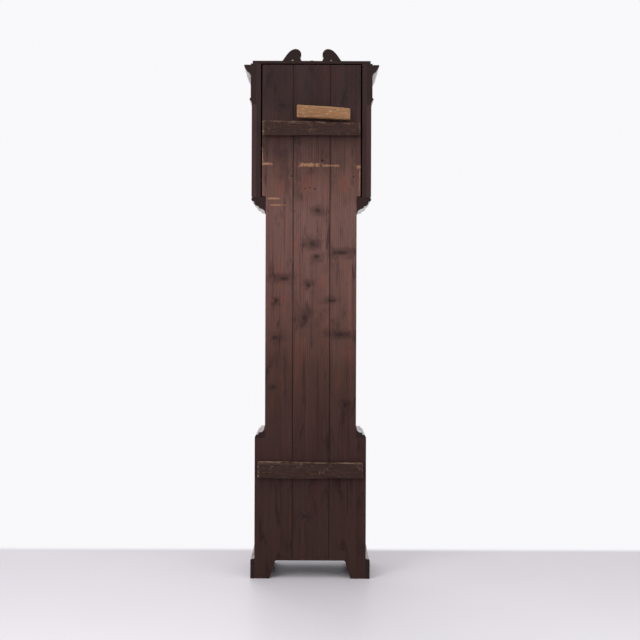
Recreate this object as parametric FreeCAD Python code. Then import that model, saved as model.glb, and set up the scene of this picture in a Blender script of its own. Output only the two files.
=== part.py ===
import FreeCAD, Part
import math
import os

V = FreeCAD.Vector

# Tall case clock, millimetres. The front looks along -Y, the back along +Y.
# Depths are measured forward from the plane of the backboards.

# Heights of the case, stacked up from the floor
plinth_height = 81.0
base_height = 484.0
base_moulding_height = 46.0
trunk_height = 856.0
throat_height = 49.0
throat_reach = 46.5
sill_height = 18.5
column_height = 371.5
architrave_height = 28.0
frieze_height = 82.0
cornice_height = 50.0
top_board_lift = 5.0
top_board_thickness = 11.0

# Half widths and depths
trunk_half = 183.0
trunk_depth = 195.0
base_step = 41.0
plinth_step = 16.0
hood_step = 39.0
hood_reach = 33.0
sill_lip = 0.5
frieze_step = 23.0
cornice_reach = 26.5

# Board thicknesses
backboard_thickness = 14.0
case_board = 16.0
base_board = 18.0
front_frame_thickness = 18.0
hood_board = 18.0
seatboard_thickness = 18.0
hood_door_thickness = 20.0
mask_thickness = 7.0

# The three backboards, their seams and their strips
seam_right = 71.9
seam_left = -75.5
seam_gap = 0.6
hood_ear_gap = 6.0
ear_lift = 3.0
foot_cut_top_half = 143.0
foot_cut_floor_half = 165.0
foot_cut_height = 72.7
foot_cut_radius = 9.0

# Battens and spacer block nailed across the back
batten_thickness = 20.0
wall_block_thickness = 32.0
upper_batten_z = 1778.0
upper_batten_half = 195.0
upper_batten_width = 62.0
upper_batten_rise = 9.0
lower_batten_z = 404.0
lower_batten_half = 211.0
lower_batten_width = 69.0
lower_batten_rise = 4.0
wall_block_length = 213.0
wall_block_width = 54.0
wall_block_x = -48.0
wall_block_turn = 3.4
wall_block_taper = 8.0

# Trunk door and its frame
door_opening_half = 102.0
door_rail_low = 111.0
door_rail_high = 110.0
door_gap = 2.0
door_lip = 6.0
door_lip_thickness = 6.5
door_body_thickness = 12.0
lip_gap = 0.5
hinge_knuckle_radius = 3.2
hinge_leaf_width = 16.0
hinge_leaf_thickness = 1.2
hinge_length = 54.0
hinge_inset = 90.0
hinge_split = 0.4

# Lock, bolt and key of the trunk door
lock_height = 56.0
lock_width = 44.0
lock_case_depth = 14.5
lock_wall = 1.6
lock_edge_inset = 4.0
bolt_height = 11.0
bolt_thickness = 5.0
bolt_clearance = 0.4
bolt_behind_frame = 0.6
key_stem_radius = 2.4
key_hole_clearance = 0.4
key_reach = 34.0
key_bow_radius = 9.5
key_bow_wire = 2.2
key_drop = 13.0
key_bit_length = 4.9
key_bit_thickness = 1.8
key_bit_width = 6.0

# Bracket feet
foot_front_width = 88.0
foot_side_width = 84.0
foot_opening_height = 50.0
foot_shoulder = 26.0
plinth_bevel = 9.0
foot_knee_height = 27.5

# Hood door, glass, pins and knob
hood_rail_width = 34.0
hood_door_gap = 1.5
hood_door_side_gap = 1.2
glass_thickness = 2.0
glass_rebate = 6.0
glass_clearance = 0.3
hinge_pin_radius = 2.5
hinge_pin_clearance = 0.07
hinge_pin_reach = 7.0
hinge_pin_inset = 5.0
knob_radius = 7.0
knob_stem = 9.0

# Hood columns
column_radius = 10.0
column_neck_radius = 8.2
column_block = 22.0
column_block_height = 16.0
column_ring_height = 5.0
rear_strip = 18.5

# Pediment: two swan necks with rosettes, and the block between them
neck_thickness = 22.0
neck_band_relief = 6.0
neck_band_width = 17.0
neck_outer_height = 13.0
neck_head_x = 69.0
neck_head_height = 95.0
neck_head_radius = 24.0
neck_dip_height = 34.0
neck_hole_radius = 3.6
rosette_radius = 15.0
rosette_height = 5.0
finial_plinth_half = 26.0
finial_plinth_height = 70.0
finial_plinth_gap = 0.6

# Dial and hands
dial_centre_drop = 1.0
dial_half = 165.0
dial_thickness = 2.0
dial_behind_mask = 8.0
dial_post_radius = 3.0
mask_opening_half = 151.0
mask_gap = 3.0
winding_hole_radius = 6.5
hand_thickness = 1.2
hour_hand_length = 78.0
minute_hand_length = 116.0
seconds_hand_length = 24.0
hour_hand_turn = 300.0
hand_gap = 2.8
seconds_hand_gap = 0.9

# Movement frame
plate_half = 78.0
plate_below = 62.0
plate_above = 102.0
plate_thickness = 3.0
plate_gap = 60.0
motion_room = 30.0
pillar_radius = 4.5
pillar_inset_x = 6.0
pillar_inset_z = 10.0
pivot_radius = 1.1
pivot_clearance = 0.06
arbor_radius = 1.3
arbor_endshake = 0.4

# Wheels: teeth, leaves and modules
great_teeth = 96
centre_leaves = 8
great_module = 0.8
centre_teeth = 60
third_leaves = 8
centre_module = 0.8
third_teeth = 56
escape_leaves = 7
third_module = 0.75
escape_teeth = 30
escape_radius = 19.0
motion_teeth = 36
motion_module = 1.0
minute_leaves = 8
hour_teeth = 96
pin_teeth = 56
gather_leaves = 7
pin_module = 0.75
gather_teeth = 49
warning_leaves = 7
gather_module = 0.7
warning_teeth = 48
fly_leaves = 6
warning_module = 0.6
wheel_thickness = 2.0
great_thickness = 2.6
pinion_length = 6.0
short_pinion_length = 3.6
leaf_width_share = 0.32
stud_radius = 1.2
hub_radius = 4.6
hub_length = 3.0

# Layout of the trains, as turns about the arbors that they mesh with
great_turn = -15.0
seconds_height = 48.0
minute_turn = -120.0
pin_turn = 75.0
gather_turn = 100.0
warning_turn = 75.0
fly_turn = 160.0

# Depths of the wheels between the plates, forward of the back plate's inner face
centre_wheel_in = 2.4
great_wheel_in = 8.0
strike_great_in = 15.0
third_wheel_in = 25.0
escape_wheel_in = 43.0
pin_wheel_in = 7.0
gather_wheel_in = 21.0
warning_wheel_in = 31.0
motion_gap = 2.4

# Barrels and fly
barrel_radius = 24.0
barrel_flange = 2.0
flange_thickness = 2.0
barrel_length = 38.0
ratchet_gap = 0.4
barrel_arbor_radius = 5.0
barrel_arbor_clearance = 0.08
square_half = 2.6
square_length = 11.0
fly_half = 15.0
fly_width = 20.0
fly_thickness = 0.9

# Escapement and pendulum
pallet_height = 27.4
anchor_gap = 1.7
anchor_width = 4.0
anchor_span = 48.0
anchor_thickness = 5.0
anchor_hub_radius = 5.0
crutch_length = 118.0
crutch_radius = 1.5
crutch_behind_plate = 8.0
crutch_fork_gap = 0.4
fork_wire = 1.6
pendulum_behind_plate = 22.0
pendulum_length = 994.0
rod_radius = 2.6
bob_radius = 54.0
bob_thickness = 25.0
spring_width = 8.0
spring_thickness = 0.4
spring_length = 34.0
spring_above_axis = 2.5
spring_block_height = 8.0
spring_block_width = 14.0
rating_nut_radius = 7.0
rating_nut_height = 8.0
rod_tail = 26.0
cock_thickness = 3.0
cock_width = 44.0
cock_height = 34.0
cock_foot = 12.0

# Hammer and bell
hammer_x = -58.0
hammer_z = 30.0
hammer_arm_in = 12.0
hammer_arm_radius = 1.4
hammer_head_length = 17.0
hammer_head_radius = 4.5
hammer_tail_gap = 1.2
strike_pin_radius = 0.8
strike_pin_circle = 18.0
strike_pin_count = 8
strike_pin_length = 3.0
bell_radius = 44.0
bell_height = 30.0
bell_wall = 2.2
bell_rim_height = 110.0
bell_gap = 1.0
bell_stand_radius = 2.5

# Weights, pulleys and gut lines
weight_radius = 31.0
weight_height = 200.0
weight_drop = 340.0
weight_hook_height = 34.0
pulley_radius = 25.0
pulley_groove = 1.6
pulley_thickness = 7.0
pulley_pin_radius = 1.6
pulley_clearance = 0.08
strap_thickness = 1.6
strap_width = 12.0
strap_gap = 0.5
line_radius = 0.8
line_gap = 0.3
line_hole_radius = 6.0

# Outlines of the mouldings, as shares of their reach and height
throat_foot_share = (0.06, 0.0)
throat_hollow_share = (0.52, 0.42)
throat_bead_shares = [(0.56, 0.48), (0.63, 0.55), (0.56, 0.62)]
throat_round_shares = [(0.66, 0.62), (1.0, 0.86)]
base_round_shares = [(1.0, 0.0), (0.64, 0.34)]
base_hollow_shares = [(0.51, 0.50), (0.08, 1.0)]
plinth_round_shares = [(0.80, 0.65), (0.45, 0.70)]
architrave_brow_shares = (1.19, 0.72)
architrave_step_share = 0.86
cornice_hollow_shares = (0.55, 0.44)
cornice_lip_share = 0.88
foot_knee_shares = [0.40, 1.10]
foot_bend_share = 0.35
neck_rise_shares = [(0.0, 0.0), (0.22, 0.05), (0.46, 0.20), (0.66, 0.48), (0.80, 0.80), (0.90, 0.95),
                    (1.0, 1.0)]
neck_throat_shares = (0.8, 0.6)
neck_hole_shares = (0.55, 0.3)
rosette_face_share = 0.55
plinth_cap_share = 0.6
door_lip_round_share = 0.7

# Shapes of the teeth, as shares of a module, a step or a radius
tooth_width_share = 0.45
tooth_root_share = 1.35
tooth_top_share = 1.15
tooth_tip_share = 0.85
tooth_curve_steps = 12
leaf_shares = [(-1.45, 1.0), (0.0, 1.0), (0.5, 0.45)]
rim_share = 3.2
boss_share = 0.8
arm_share = 0.5
least_rim_share = 1.4
escape_root_share = 0.80
escape_rim_share = 0.72
escape_tooth_shares = [-0.30, 0.0, 0.04, 0.12]

# Smaller shapes, as shares of the size that they belong to
hand_shoulder_share = 0.7
hand_taper_share = 0.4
hand_boss_share = 1.6
hand_ring_shares = (0.68, 1.3)
hour_hand_width_share = 1.2
seconds_tail_share = 0.3
dial_post_shares = (0.9, 0.75)
bell_nut_shares = (2.2, 1.6)
bell_arm_share = 0.8
bell_post_share = 1.3
barrel_neck_share = 0.8
square_shares = (0.25, 0.7)
hammer_head_share = 0.8
anchor_tip_shares = (1.08, 1.04)
anchor_hub_share = 0.8
staff_share = 0.9
cock_reach_share = 1.2
bob_edge_share = 0.2
bob_curve_shares = (0.62, 0.78)
weight_round_share = 0.12
strap_start_share = 0.5
line_depth_share = 0.6

# One running clearance round whatever slides on the case, and one overrun for cuts
slide_gap = 1.5
cut_over = 5.0
same_place = 0.01

# Levels worked out from the heights
base_z = plinth_height
base_top_z = base_z + base_height
base_moulding_top_z = base_top_z + base_moulding_height
throat_z = base_moulding_top_z + trunk_height
throat_top_z = throat_z + throat_height
hood_floor_z = throat_top_z + sill_height
architrave_z = hood_floor_z + column_height
frieze_z = architrave_z + architrave_height
cornice_z = frieze_z + frieze_height
cornice_top_z = cornice_z + cornice_height
hood_top_z = cornice_top_z + top_board_lift
top_z = hood_top_z + top_board_thickness

base_half = trunk_half + base_step
base_depth = trunk_depth + base_step
plinth_half = base_half + plinth_step
hood_half = trunk_half + hood_step
hood_inner_half = hood_half - hood_board
hood_ear_half = hood_inner_half - hood_ear_gap
sill_step = hood_step + rear_strip + sill_lip
hood_door_depth = trunk_depth + hood_reach
hood_side_depth = hood_door_depth - hood_door_thickness
frieze_half = hood_half + frieze_step
frieze_depth = hood_door_depth + frieze_step
cornice_depth = frieze_depth + cornice_reach
back_y = (cornice_depth + wall_block_thickness) / 2 - wall_block_thickness

dial_z = hood_floor_z + column_height / 2 - dial_centre_drop
seat_z = dial_z - plate_below
mask_depth = hood_side_depth - mask_gap - mask_thickness
dial_depth = mask_depth - dial_behind_mask
dial_back = dial_depth - dial_thickness
front_plate_face = dial_back - motion_room
front_plate_depth = front_plate_face - plate_thickness
plate_in = front_plate_depth - plate_gap
back_plate_depth = plate_in - plate_thickness
crutch_depth = back_plate_depth - crutch_behind_plate
pendulum_depth = back_plate_depth - pendulum_behind_plate

hood_door_half = hood_inner_half + hood_board / 4
hood_hinge_x = hood_door_half - hinge_pin_inset
hood_hinge_depth = hood_door_depth - hood_door_thickness / 2

door_hinge_x = door_opening_half + door_lip + hinge_knuckle_radius + lip_gap
door_hinge_depth = trunk_depth + hinge_knuckle_radius + hinge_leaf_thickness
door_front = trunk_depth + lip_gap + door_lip_thickness
door_sill_z = base_top_z + door_rail_low
door_top_z = throat_top_z - door_rail_high
door_height = door_top_z - door_sill_z
lock_z = door_sill_z + door_height / 2
lock_edge = door_gap - door_opening_half
lock_depth0 = trunk_depth + lip_gap - door_body_thickness
bolt_z = lock_z + lock_height / 4
key_z = bolt_z - key_drop
key_x = lock_edge + lock_width / 2 + lock_edge_inset
bolt_depth = trunk_depth - front_frame_thickness - bolt_behind_frame - bolt_thickness / 2


def y_at(depth):
    return back_y - depth


def slab(x0, x1, d0, d1, z0, z1):
    """A box between two widths, two depths and two heights."""
    return Part.makeBox(x1 - x0, d1 - d0, z1 - z0, V(x0, y_at(d1), z0))


def rod_y(x, z, radius, d0, d1):
    """A round bar that runs forward from depth d0 to depth d1."""
    return Part.makeCylinder(radius, d1 - d0, V(x, y_at(d0), z), V(0, -1, 0))


def rod_z(x, depth, radius, z0, z1):
    return Part.makeCylinder(radius, z1 - z0, V(x, y_at(depth), z0))


def rod_x(x0, x1, depth, z, radius):
    return Part.makeCylinder(radius, x1 - x0, V(x0, y_at(depth), z), V(1, 0, 0))


def outline_wire(place, start, steps):
    """A closed wire: a step of one point is a line, a step of two is an arc through the first."""
    edges = []
    here = place(*start)
    for step in list(steps) + [(start,)]:
        there = place(*step[-1])
        if len(step) == 2:
            edges.append(Part.Arc(here, place(*step[0]), there).toShape())
        elif here.distanceToPoint(there) > 0:
            edges.append(Part.LineSegment(here, there).toShape())
        here = there
    return Part.Wire(edges)


def bend(p, q, leaves):
    """The middle point of the arc from p to q that leaves p in the direction given."""
    dx, dz = q[0] - p[0], q[1] - p[1]
    chord = math.hypot(dx, dz)
    turn = math.atan2(dx * leaves[1] - dz * leaves[0], dx * leaves[0] + dz * leaves[1])
    lift = math.tan(turn / 2) / 2
    return ((p[0] + q[0]) / 2 - dz * lift, (p[1] + q[1]) / 2 + dx * lift)


def plate_y(start, steps, d0, d1):
    """An outline in X and Z, made solid from depth d0 forward to depth d1."""
    wire = outline_wire(lambda x, z: V(x, y_at(d0), z), start, steps)
    return Part.Face(wire).extrude(V(0, d0 - d1, 0))


def polygon_y(points, d0, d1):
    return plate_y(points[0], [(p,) for p in points[1:]], d0, d1)


def polygon_z(points, z0, z1):
    """A polygon in X and depth, made solid between two heights."""
    wire = outline_wire(lambda x, d: V(x, y_at(d), z0), points[0], [(p,) for p in points[1:]])
    return Part.Face(wire).extrude(V(0, 0, z1 - z0))


def mirrored(shape):
    return shape.mirror(V(0, 0, 0), V(1, 0, 0))


def both_sides(shape):
    return [shape, mirrored(shape)]


def as_one(shapes):
    """Fuse touching shapes into one clean solid."""
    joined = shapes[0].fuse(shapes[1:]).removeSplitter()
    return joined.Solids[0] if len(joined.Solids) == 1 else joined


def run_round(start, steps, half, front):
    """A moulding on both sides and the front, mitred at the two front corners."""
    reach = half / 2
    across = outline_wire(lambda o, z: V(-half - reach, y_at(front + o), z), start, steps)
    across = Part.Face(across).extrude(V(2 * (half + reach), 0, 0))
    along = outline_wire(lambda o, z: V(half + o, y_at(0), z), start, steps)
    along = Part.Face(along).extrude(V(0, -front - reach, 0))
    low = min(p[1] for p in [start] + [s[-1] for s in steps]) - cut_over
    high = max(p[1] for p in [start] + [s[-1] for s in steps]) + cut_over
    front_zone = [(-half - reach, front + reach), (half + reach, front + reach),
                  (half - reach, front - reach), (reach - half, front - reach)]
    side_zone = [(half + reach, front + reach), (half - reach, front - reach),
                 (half - reach, 0), (half + reach, 0)]
    front_run = across.common(polygon_z(front_zone, low, high))
    side_run = along.common(polygon_z(side_zone, low, high))
    return [front_run] + both_sides(side_run)


def write(name, shapes):
    shapes = shapes if isinstance(shapes, list) else [shapes]
    solids = [solid for shape in shapes for solid in shape.Solids]
    whole = solids[0] if len(solids) == 1 else Part.makeCompound(solids)
    whole.exportStep(f"parts/{name}.step")
    bad = [s for s in solids if not s.isValid()]
    print(name, len(solids), "solids", round(sum(s.Volume for s in solids) / 1000, 1), "cm3",
          "BAD" if bad else "")


# The backboards

def foot_cut():
    """The opening between the two rear feet, cut through the bottom of the boards."""
    top = foot_cut_height - foot_cut_radius
    lean = foot_cut_radius * (1 - math.sqrt(0.5))
    inner = foot_cut_top_half - foot_cut_radius
    return plate_y((-foot_cut_floor_half, -cut_over), [
        ((-foot_cut_top_half, top),),
        ((-foot_cut_top_half + lean, foot_cut_height - lean), (-inner, foot_cut_height)),
        ((inner, foot_cut_height),),
        ((foot_cut_top_half - lean, foot_cut_height - lean), (foot_cut_top_half, top)),
        ((foot_cut_floor_half, -cut_over),),
    ], -cut_over, backboard_thickness + cut_over)


def backboard(x0, x1):
    board = slab(x0, x1, 0, backboard_thickness, 0, cornice_top_z)
    return board.cut(foot_cut())


def backboard_ears():
    """Strips that widen the back at the hood and at the base."""
    hood_strip = slab(trunk_half, hood_ear_half, 0, backboard_thickness,
                      hood_floor_z + ear_lift, cornice_top_z)
    base_strip = slab(trunk_half, base_half, 0, backboard_thickness, 0, base_top_z)
    return both_sides(hood_strip) + both_sides(base_strip)


def batten(z, half, width, rise):
    """A rough sawn board that is wider at one end."""
    points = [(-half, z), (half, z), (half, z + width - rise), (-half, z + width)]
    return polygon_y(points, -batten_thickness, 0)


def wall_block():
    half = wall_block_length / 2
    points = [(-half, 0), (half, wall_block_taper), (half, wall_block_width), (-half, wall_block_width)]
    block = polygon_y(points, -wall_block_thickness, 0)
    block.rotate(V(0, 0, 0), V(0, 1, 0), -wall_block_turn)
    share = (wall_block_x - half + upper_batten_half) / (2 * upper_batten_half)
    batten_top = upper_batten_z + upper_batten_width - upper_batten_rise * share
    lowest = block.BoundBox.ZMin
    block.translate(V(wall_block_x, 0, batten_top - lowest))
    return block


# Trunk

def trunk_sides():
    side = slab(trunk_half - case_board, trunk_half, backboard_thickness,
                trunk_depth - front_frame_thickness, base_top_z, seat_z - seatboard_thickness)
    return both_sides(side)


def trunk_front_frame():
    """Two stiles and two rails round the door opening."""
    d0 = trunk_depth - front_frame_thickness
    stile = slab(door_opening_half, trunk_half, d0, trunk_depth, base_top_z, throat_top_z)
    low = slab(-door_opening_half, door_opening_half, d0, trunk_depth, base_top_z, door_sill_z)
    high = slab(-door_opening_half, door_opening_half, d0, trunk_depth,
                door_top_z, throat_top_z)
    return both_sides(stile) + [low, high]


def throat_moulding():
    """Hollow and bead under the hood."""
    def at(shares):
        return (shares[0] * throat_reach, throat_z + shares[1] * throat_height)

    foot, hollow = at(throat_foot_share), at(throat_hollow_share)
    bead, belly, over = [at(shares) for shares in throat_bead_shares]
    lift, brow = [at(shares) for shares in throat_round_shares]
    return run_round((0, throat_z), [
        (foot,),
        (bend(foot, hollow, (0, 1)), hollow),
        ((hollow[0], bead[1]),),
        (bead,),
        (belly, over),
        (lift,),
        (bend(lift, brow, (1, 0)), brow),
        ((throat_reach, throat_top_z),),
        ((0, throat_top_z),),
    ], trunk_half, trunk_depth)


# Base

def base_sides():
    side = slab(base_half - base_board, base_half, backboard_thickness,
                base_depth - base_board, foot_cut_height, base_top_z)
    return both_sides(side)


def base_front():
    return slab(-base_half, base_half, base_depth - base_board, base_depth, foot_cut_height, base_top_z)


def base_moulding():
    """Hollow and quarter round between the trunk and the base."""
    def at(shares):
        return (shares[0] * base_step, base_top_z + shares[1] * base_moulding_height)

    toe, round_top = [at(shares) for shares in base_round_shares]
    lip, foot = [at(shares) for shares in base_hollow_shares]
    return run_round((0, base_top_z), [
        (toe,),
        (bend(toe, round_top, (0, 1)), round_top),
        ((round_top[0], lip[1]),),
        (lip,),
        (bend(lip, foot, (-1, 0)), foot),
        ((0, base_moulding_top_z),),
    ], trunk_half, trunk_depth)


def foot_gap(half, inner):
    """The shaped opening between two bracket feet, as an outline in width and height."""
    top = foot_opening_height
    low, high = [foot_knee_height * share for share in foot_knee_shares]
    turn = half - foot_shoulder * foot_bend_share
    return (-half, -cut_over), [
        ((-half, low),),
        ((-turn, high), (-inner, top)),
        ((inner, top),),
        ((turn, high), (half, low)),
        ((half, -cut_over),),
    ]


def bracket_feet():
    shoulder = plinth_height - plinth_bevel
    brow, lip = [(plinth_step * u, shoulder + plinth_bevel * w) for u, w in plinth_round_shares]
    runs = run_round((0, 0), [
        ((plinth_step, 0),),
        ((plinth_step, shoulder),),
        (brow, lip),
        ((0, plinth_height),),
    ], base_half, base_depth)
    half = plinth_half - foot_front_width
    start, steps = foot_gap(half, half - foot_shoulder)
    front_cut = plate_y(start, steps, base_depth - cut_over, base_depth + plinth_step + cut_over)
    side_half = (base_depth + plinth_step) / 2 - foot_side_width
    start, steps = foot_gap(side_half, side_half - foot_shoulder)
    mid = (base_depth + plinth_step) / 2
    wire = outline_wire(lambda d, z: V(-plinth_half - cut_over, y_at(mid + d), z), start, steps)
    side_cut = Part.Face(wire).extrude(V(2 * (plinth_half + cut_over), 0, 0))
    return [runs[0].cut(front_cut)] + [run.cut(side_cut) for run in runs[1:]]


def seatboard():
    board = slab(-trunk_half, trunk_half, crutch_depth + cut_over, trunk_depth - front_frame_thickness,
                 seat_z - seatboard_thickness, seat_z)
    for side in (-1, 1):
        for x in (line_outer_x, line_inner_x):
            board = board.cut(rod_z(side * x, line_depth, line_hole_radius,
                                    seat_z - seatboard_thickness - cut_over, seat_z + cut_over))
    return board


# Hood

def hood_sides():
    side = slab(hood_inner_half, hood_half, 0, hood_side_depth, hood_floor_z, hood_top_z)
    cut = slab(hood_inner_half - cut_over, hood_half + cut_over, hood_side_depth - hood_door_side_gap,
               hood_side_depth + cut_over, hood_floor_z, architrave_z)
    return both_sides(side.cut(cut))


def hood_sill():
    """The U shaped floor of the hood, with a half round edge, which slides on the case."""
    bulge = sill_height / 2
    inner = slide_gap
    runs = run_round((inner, throat_top_z), [
        ((sill_step - bulge, throat_top_z),),
        ((sill_step, throat_top_z + bulge), (sill_step - bulge, hood_floor_z)),
        ((inner, hood_floor_z),),
    ], trunk_half, trunk_depth)
    sill = as_one(runs)
    return sill.cut(hood_pin_hole(throat_top_z + bulge))


def hood_pin_hole(z_from):
    """The socket of the hood door's pivot pin below the door, or above it."""
    radius, reach = hinge_pin_radius + hinge_pin_clearance, hinge_pin_reach + cut_over
    if z_from < hood_floor_z:
        return rod_z(hood_hinge_x, hood_hinge_depth, radius, hood_floor_z - reach, hood_floor_z)
    return rod_z(hood_hinge_x, hood_hinge_depth, radius, architrave_z, architrave_z + reach)


def hood_frieze():
    """Frieze blocks with a small architrave below, and the rail behind the front one."""
    bump = frieze_step * architrave_brow_shares[0]
    foot = (rear_strip, architrave_z)
    brow = (bump, architrave_z + architrave_height * architrave_brow_shares[1])
    runs = run_round((0, architrave_z), [
        (foot,),
        (bend(foot, brow, (0, 1)), brow),
        ((bump, architrave_z + architrave_height * architrave_step_share),),
        ((frieze_step, frieze_z),),
        ((frieze_step, hood_top_z),),
        ((0, hood_top_z),),
    ], hood_half, hood_door_depth)
    rail = slab(-hood_half, hood_half, hood_side_depth, hood_door_depth, architrave_z, hood_top_z)
    return runs + [rail.cut(hood_pin_hole(architrave_z))]


def hood_cornice():
    foot = (0, cornice_z)
    brow = (cornice_reach * cornice_hollow_shares[0], cornice_z + cornice_height * cornice_hollow_shares[1])
    return run_round(foot, [
        (bend(foot, brow, (0, 1)), brow),
        ((cornice_reach, cornice_z + cornice_height * cornice_lip_share),),
        ((cornice_reach, cornice_top_z),),
        ((0, cornice_top_z),),
    ], frieze_half, frieze_depth)


def hood_top_board():
    half = frieze_half - frieze_step / 3
    return slab(-half, half, 0, hood_door_depth - slide_gap, hood_top_z, top_z)


def neck_curve(drop):
    """The swan neck's rising line, from the cornice corner to the top of its head."""
    z0 = hood_top_z + neck_outer_height
    z1 = hood_top_z + neck_head_height + neck_head_radius
    rise = z1 - z0
    run = frieze_half - neck_head_x
    points = [V(frieze_half - run * u, y_at(hood_door_depth), z0 + rise * w - drop)
              for u, w in neck_rise_shares]
    curve = Part.BSplineCurve()
    curve.interpolate(points)
    return curve.toShape(), points


def swan_neck():
    """One scroll board: its S shaped top, round head, small hole and raised band."""
    depth0 = hood_door_depth
    y = y_at(depth0)
    top, points = neck_curve(0)
    head_z = hood_top_z + neck_head_height
    inner = V(neck_head_x - neck_head_radius, y, head_z)
    diagonal = neck_head_radius / math.sqrt(2)
    head = Part.Arc(points[-1], V(neck_head_x - diagonal, y, head_z + diagonal), inner).toShape()
    dip = hood_top_z + neck_dip_height
    edge = finial_plinth_half + finial_plinth_gap
    across, down = [neck_head_radius * share for share in neck_throat_shares]
    throat = V(neck_head_x - across, y, head_z - down)
    low = [throat, V(edge, y, dip), V(edge, y, hood_top_z), V(frieze_half, y, hood_top_z), points[0]]
    edges = [top, head, Part.LineSegment(inner, throat).toShape()]
    for a, b in zip(low, low[1:]):
        edges.append(Part.LineSegment(a, b).toShape())
    board = Part.Face(Part.Wire(edges)).extrude(V(0, -neck_thickness, 0))
    hole = rod_y(neck_head_x + neck_head_radius * neck_hole_shares[0],
                 head_z - neck_head_radius - neck_hole_radius * neck_hole_shares[1],
                 neck_hole_radius, depth0 - cut_over, depth0 + neck_thickness + cut_over)
    below, low_points = neck_curve(neck_band_width)
    band_edges = [top, Part.LineSegment(points[-1], low_points[-1]).toShape(), below,
                  Part.LineSegment(low_points[0], points[0]).toShape()]
    band = Part.Face(Part.Wire(Part.__sortEdges__(band_edges)))
    relief = neck_thickness + neck_band_relief
    band = band.extrude(V(0, -relief, 0))
    band = band.common(slab(0, frieze_half + cut_over, depth0, depth0 + relief,
                            hood_top_z, hood_top_z + head_z))
    disc = rod_y(neck_head_x, head_z, neck_head_radius, depth0, depth0 + neck_thickness + neck_band_relief)
    return as_one([board.cut(hole), band, disc])


def pediment_rosettes():
    face = hood_door_depth + neck_thickness + neck_band_relief
    rosette = Part.makeCone(rosette_radius, rosette_radius * rosette_face_share, rosette_height,
                            V(neck_head_x, y_at(face), hood_top_z + neck_head_height), V(0, -1, 0))
    return both_sides(rosette)


def finial_plinth():
    """The block between the necks, with a round top."""
    half = finial_plinth_half
    d0, d1 = hood_door_depth, hood_door_depth + neck_thickness
    top_z = hood_top_z + finial_plinth_height
    body = slab(-half, half, d0, d1, hood_top_z, top_z - half * plinth_cap_share)
    return as_one([body, rod_y(0, top_z - half, half, d0, d1)])


def hood_column(x, depth):
    """A turned column with square base and capital blocks and two rings."""
    half = column_block / 2
    z0, z1 = hood_floor_z, architrave_z
    low = slab(x - half, x + half, depth - half, depth + half, z0, z0 + column_block_height)
    high = slab(x - half, x + half, depth - half, depth + half, z1 - column_block_height, z1)
    shaft_z0 = z0 + column_block_height
    shaft_h = z1 - z0 - 2 * column_block_height
    shaft = Part.makeCone(column_radius, column_neck_radius, shaft_h, V(x, y_at(depth), shaft_z0))
    rings = []
    for z in (shaft_z0 + column_ring_height, z1 - column_block_height - column_ring_height):
        rings.append(Part.makeTorus(column_radius - column_ring_height / 2, column_ring_height / 2,
                                    V(x, y_at(depth), z)))
        rings.append(rod_z(x, depth, column_radius - column_ring_height / 2,
                           z - column_ring_height / 2, z + column_ring_height / 2))
    return as_one([low, high, shaft] + rings)


def hood_columns():
    front = hood_column(frieze_half - column_block / 2, frieze_depth - column_block / 2)
    cap = column_block_height
    z0, z1 = hood_floor_z, architrave_z
    x0 = hood_half
    back = slab(x0, x0 + rear_strip, 0, rear_strip, z0 + cap, z1 - cap)
    post = rod_z(x0, rear_strip, rear_strip, z0 + cap, z1 - cap)
    post = post.common(slab(x0, x0 + rear_strip, rear_strip - same_place, 2 * rear_strip, z0, z1))
    low = slab(x0, x0 + rear_strip, 0, 2 * rear_strip, z0, z0 + cap)
    high = slab(x0, x0 + rear_strip, 0, 2 * rear_strip, z1 - cap, z1)
    return both_sides(front) + both_sides(as_one([back, post, low, high]))


def dial_mask():
    board = slab(-hood_inner_half, hood_inner_half, mask_depth, mask_depth + mask_thickness,
                 hood_floor_z, architrave_z)
    half = mask_opening_half
    return board.cut(slab(-half, half, mask_depth - cut_over, mask_depth + mask_thickness + cut_over,
                          dial_z - half, dial_z + half))


# Hood door


def hood_door_frame():
    """Two stiles and two rails with a rebate for the glass, and the pivot pins."""
    z0, z1 = hood_floor_z + hood_door_gap, architrave_z - hood_door_gap
    d0, d1 = hood_side_depth, hood_door_depth
    inner = hood_door_half - hood_rail_width
    rebate = slab(-inner - glass_rebate, inner + glass_rebate, d0 - cut_over, d0 + hood_door_thickness / 2,
                  z0 + hood_rail_width - glass_rebate, z1 - hood_rail_width + glass_rebate)
    stile = slab(inner, hood_door_half, d0, d1, z0, z1).cut(rebate)
    low = slab(-inner, inner, d0, d1, z0, z0 + hood_rail_width).cut(rebate)
    high = slab(-inner, inner, d0, d1, z1 - hood_rail_width, z1).cut(rebate)
    return both_sides(stile) + [low, high]


def hood_door_glass():
    z0, z1 = hood_floor_z + hood_door_gap, architrave_z - hood_door_gap
    reach = glass_rebate - glass_clearance
    half = hood_door_half - hood_rail_width + reach
    d1 = hood_side_depth + hood_door_thickness / 2
    return slab(-half, half, d1 - glass_thickness, d1,
                z0 + hood_rail_width - reach, z1 - hood_rail_width + reach)


def hood_door_fittings():
    """Pivot pins in the stile's ends, and a turned knob."""
    z0, z1 = hood_floor_z + hood_door_gap, architrave_z - hood_door_gap
    low = rod_z(hood_hinge_x, hood_hinge_depth, hinge_pin_radius, z0 - hinge_pin_reach, z0)
    high = rod_z(hood_hinge_x, hood_hinge_depth, hinge_pin_radius, z1, z1 + hinge_pin_reach)
    x = hood_rail_width / 2 - hood_door_half
    stem = rod_y(x, dial_z, knob_radius / 2, hood_door_depth, hood_door_depth + knob_stem)
    ball = Part.makeSphere(knob_radius, V(x, y_at(hood_door_depth + knob_stem), dial_z))
    return [low, high, as_one([stem, ball])]


# Trunk door


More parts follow.
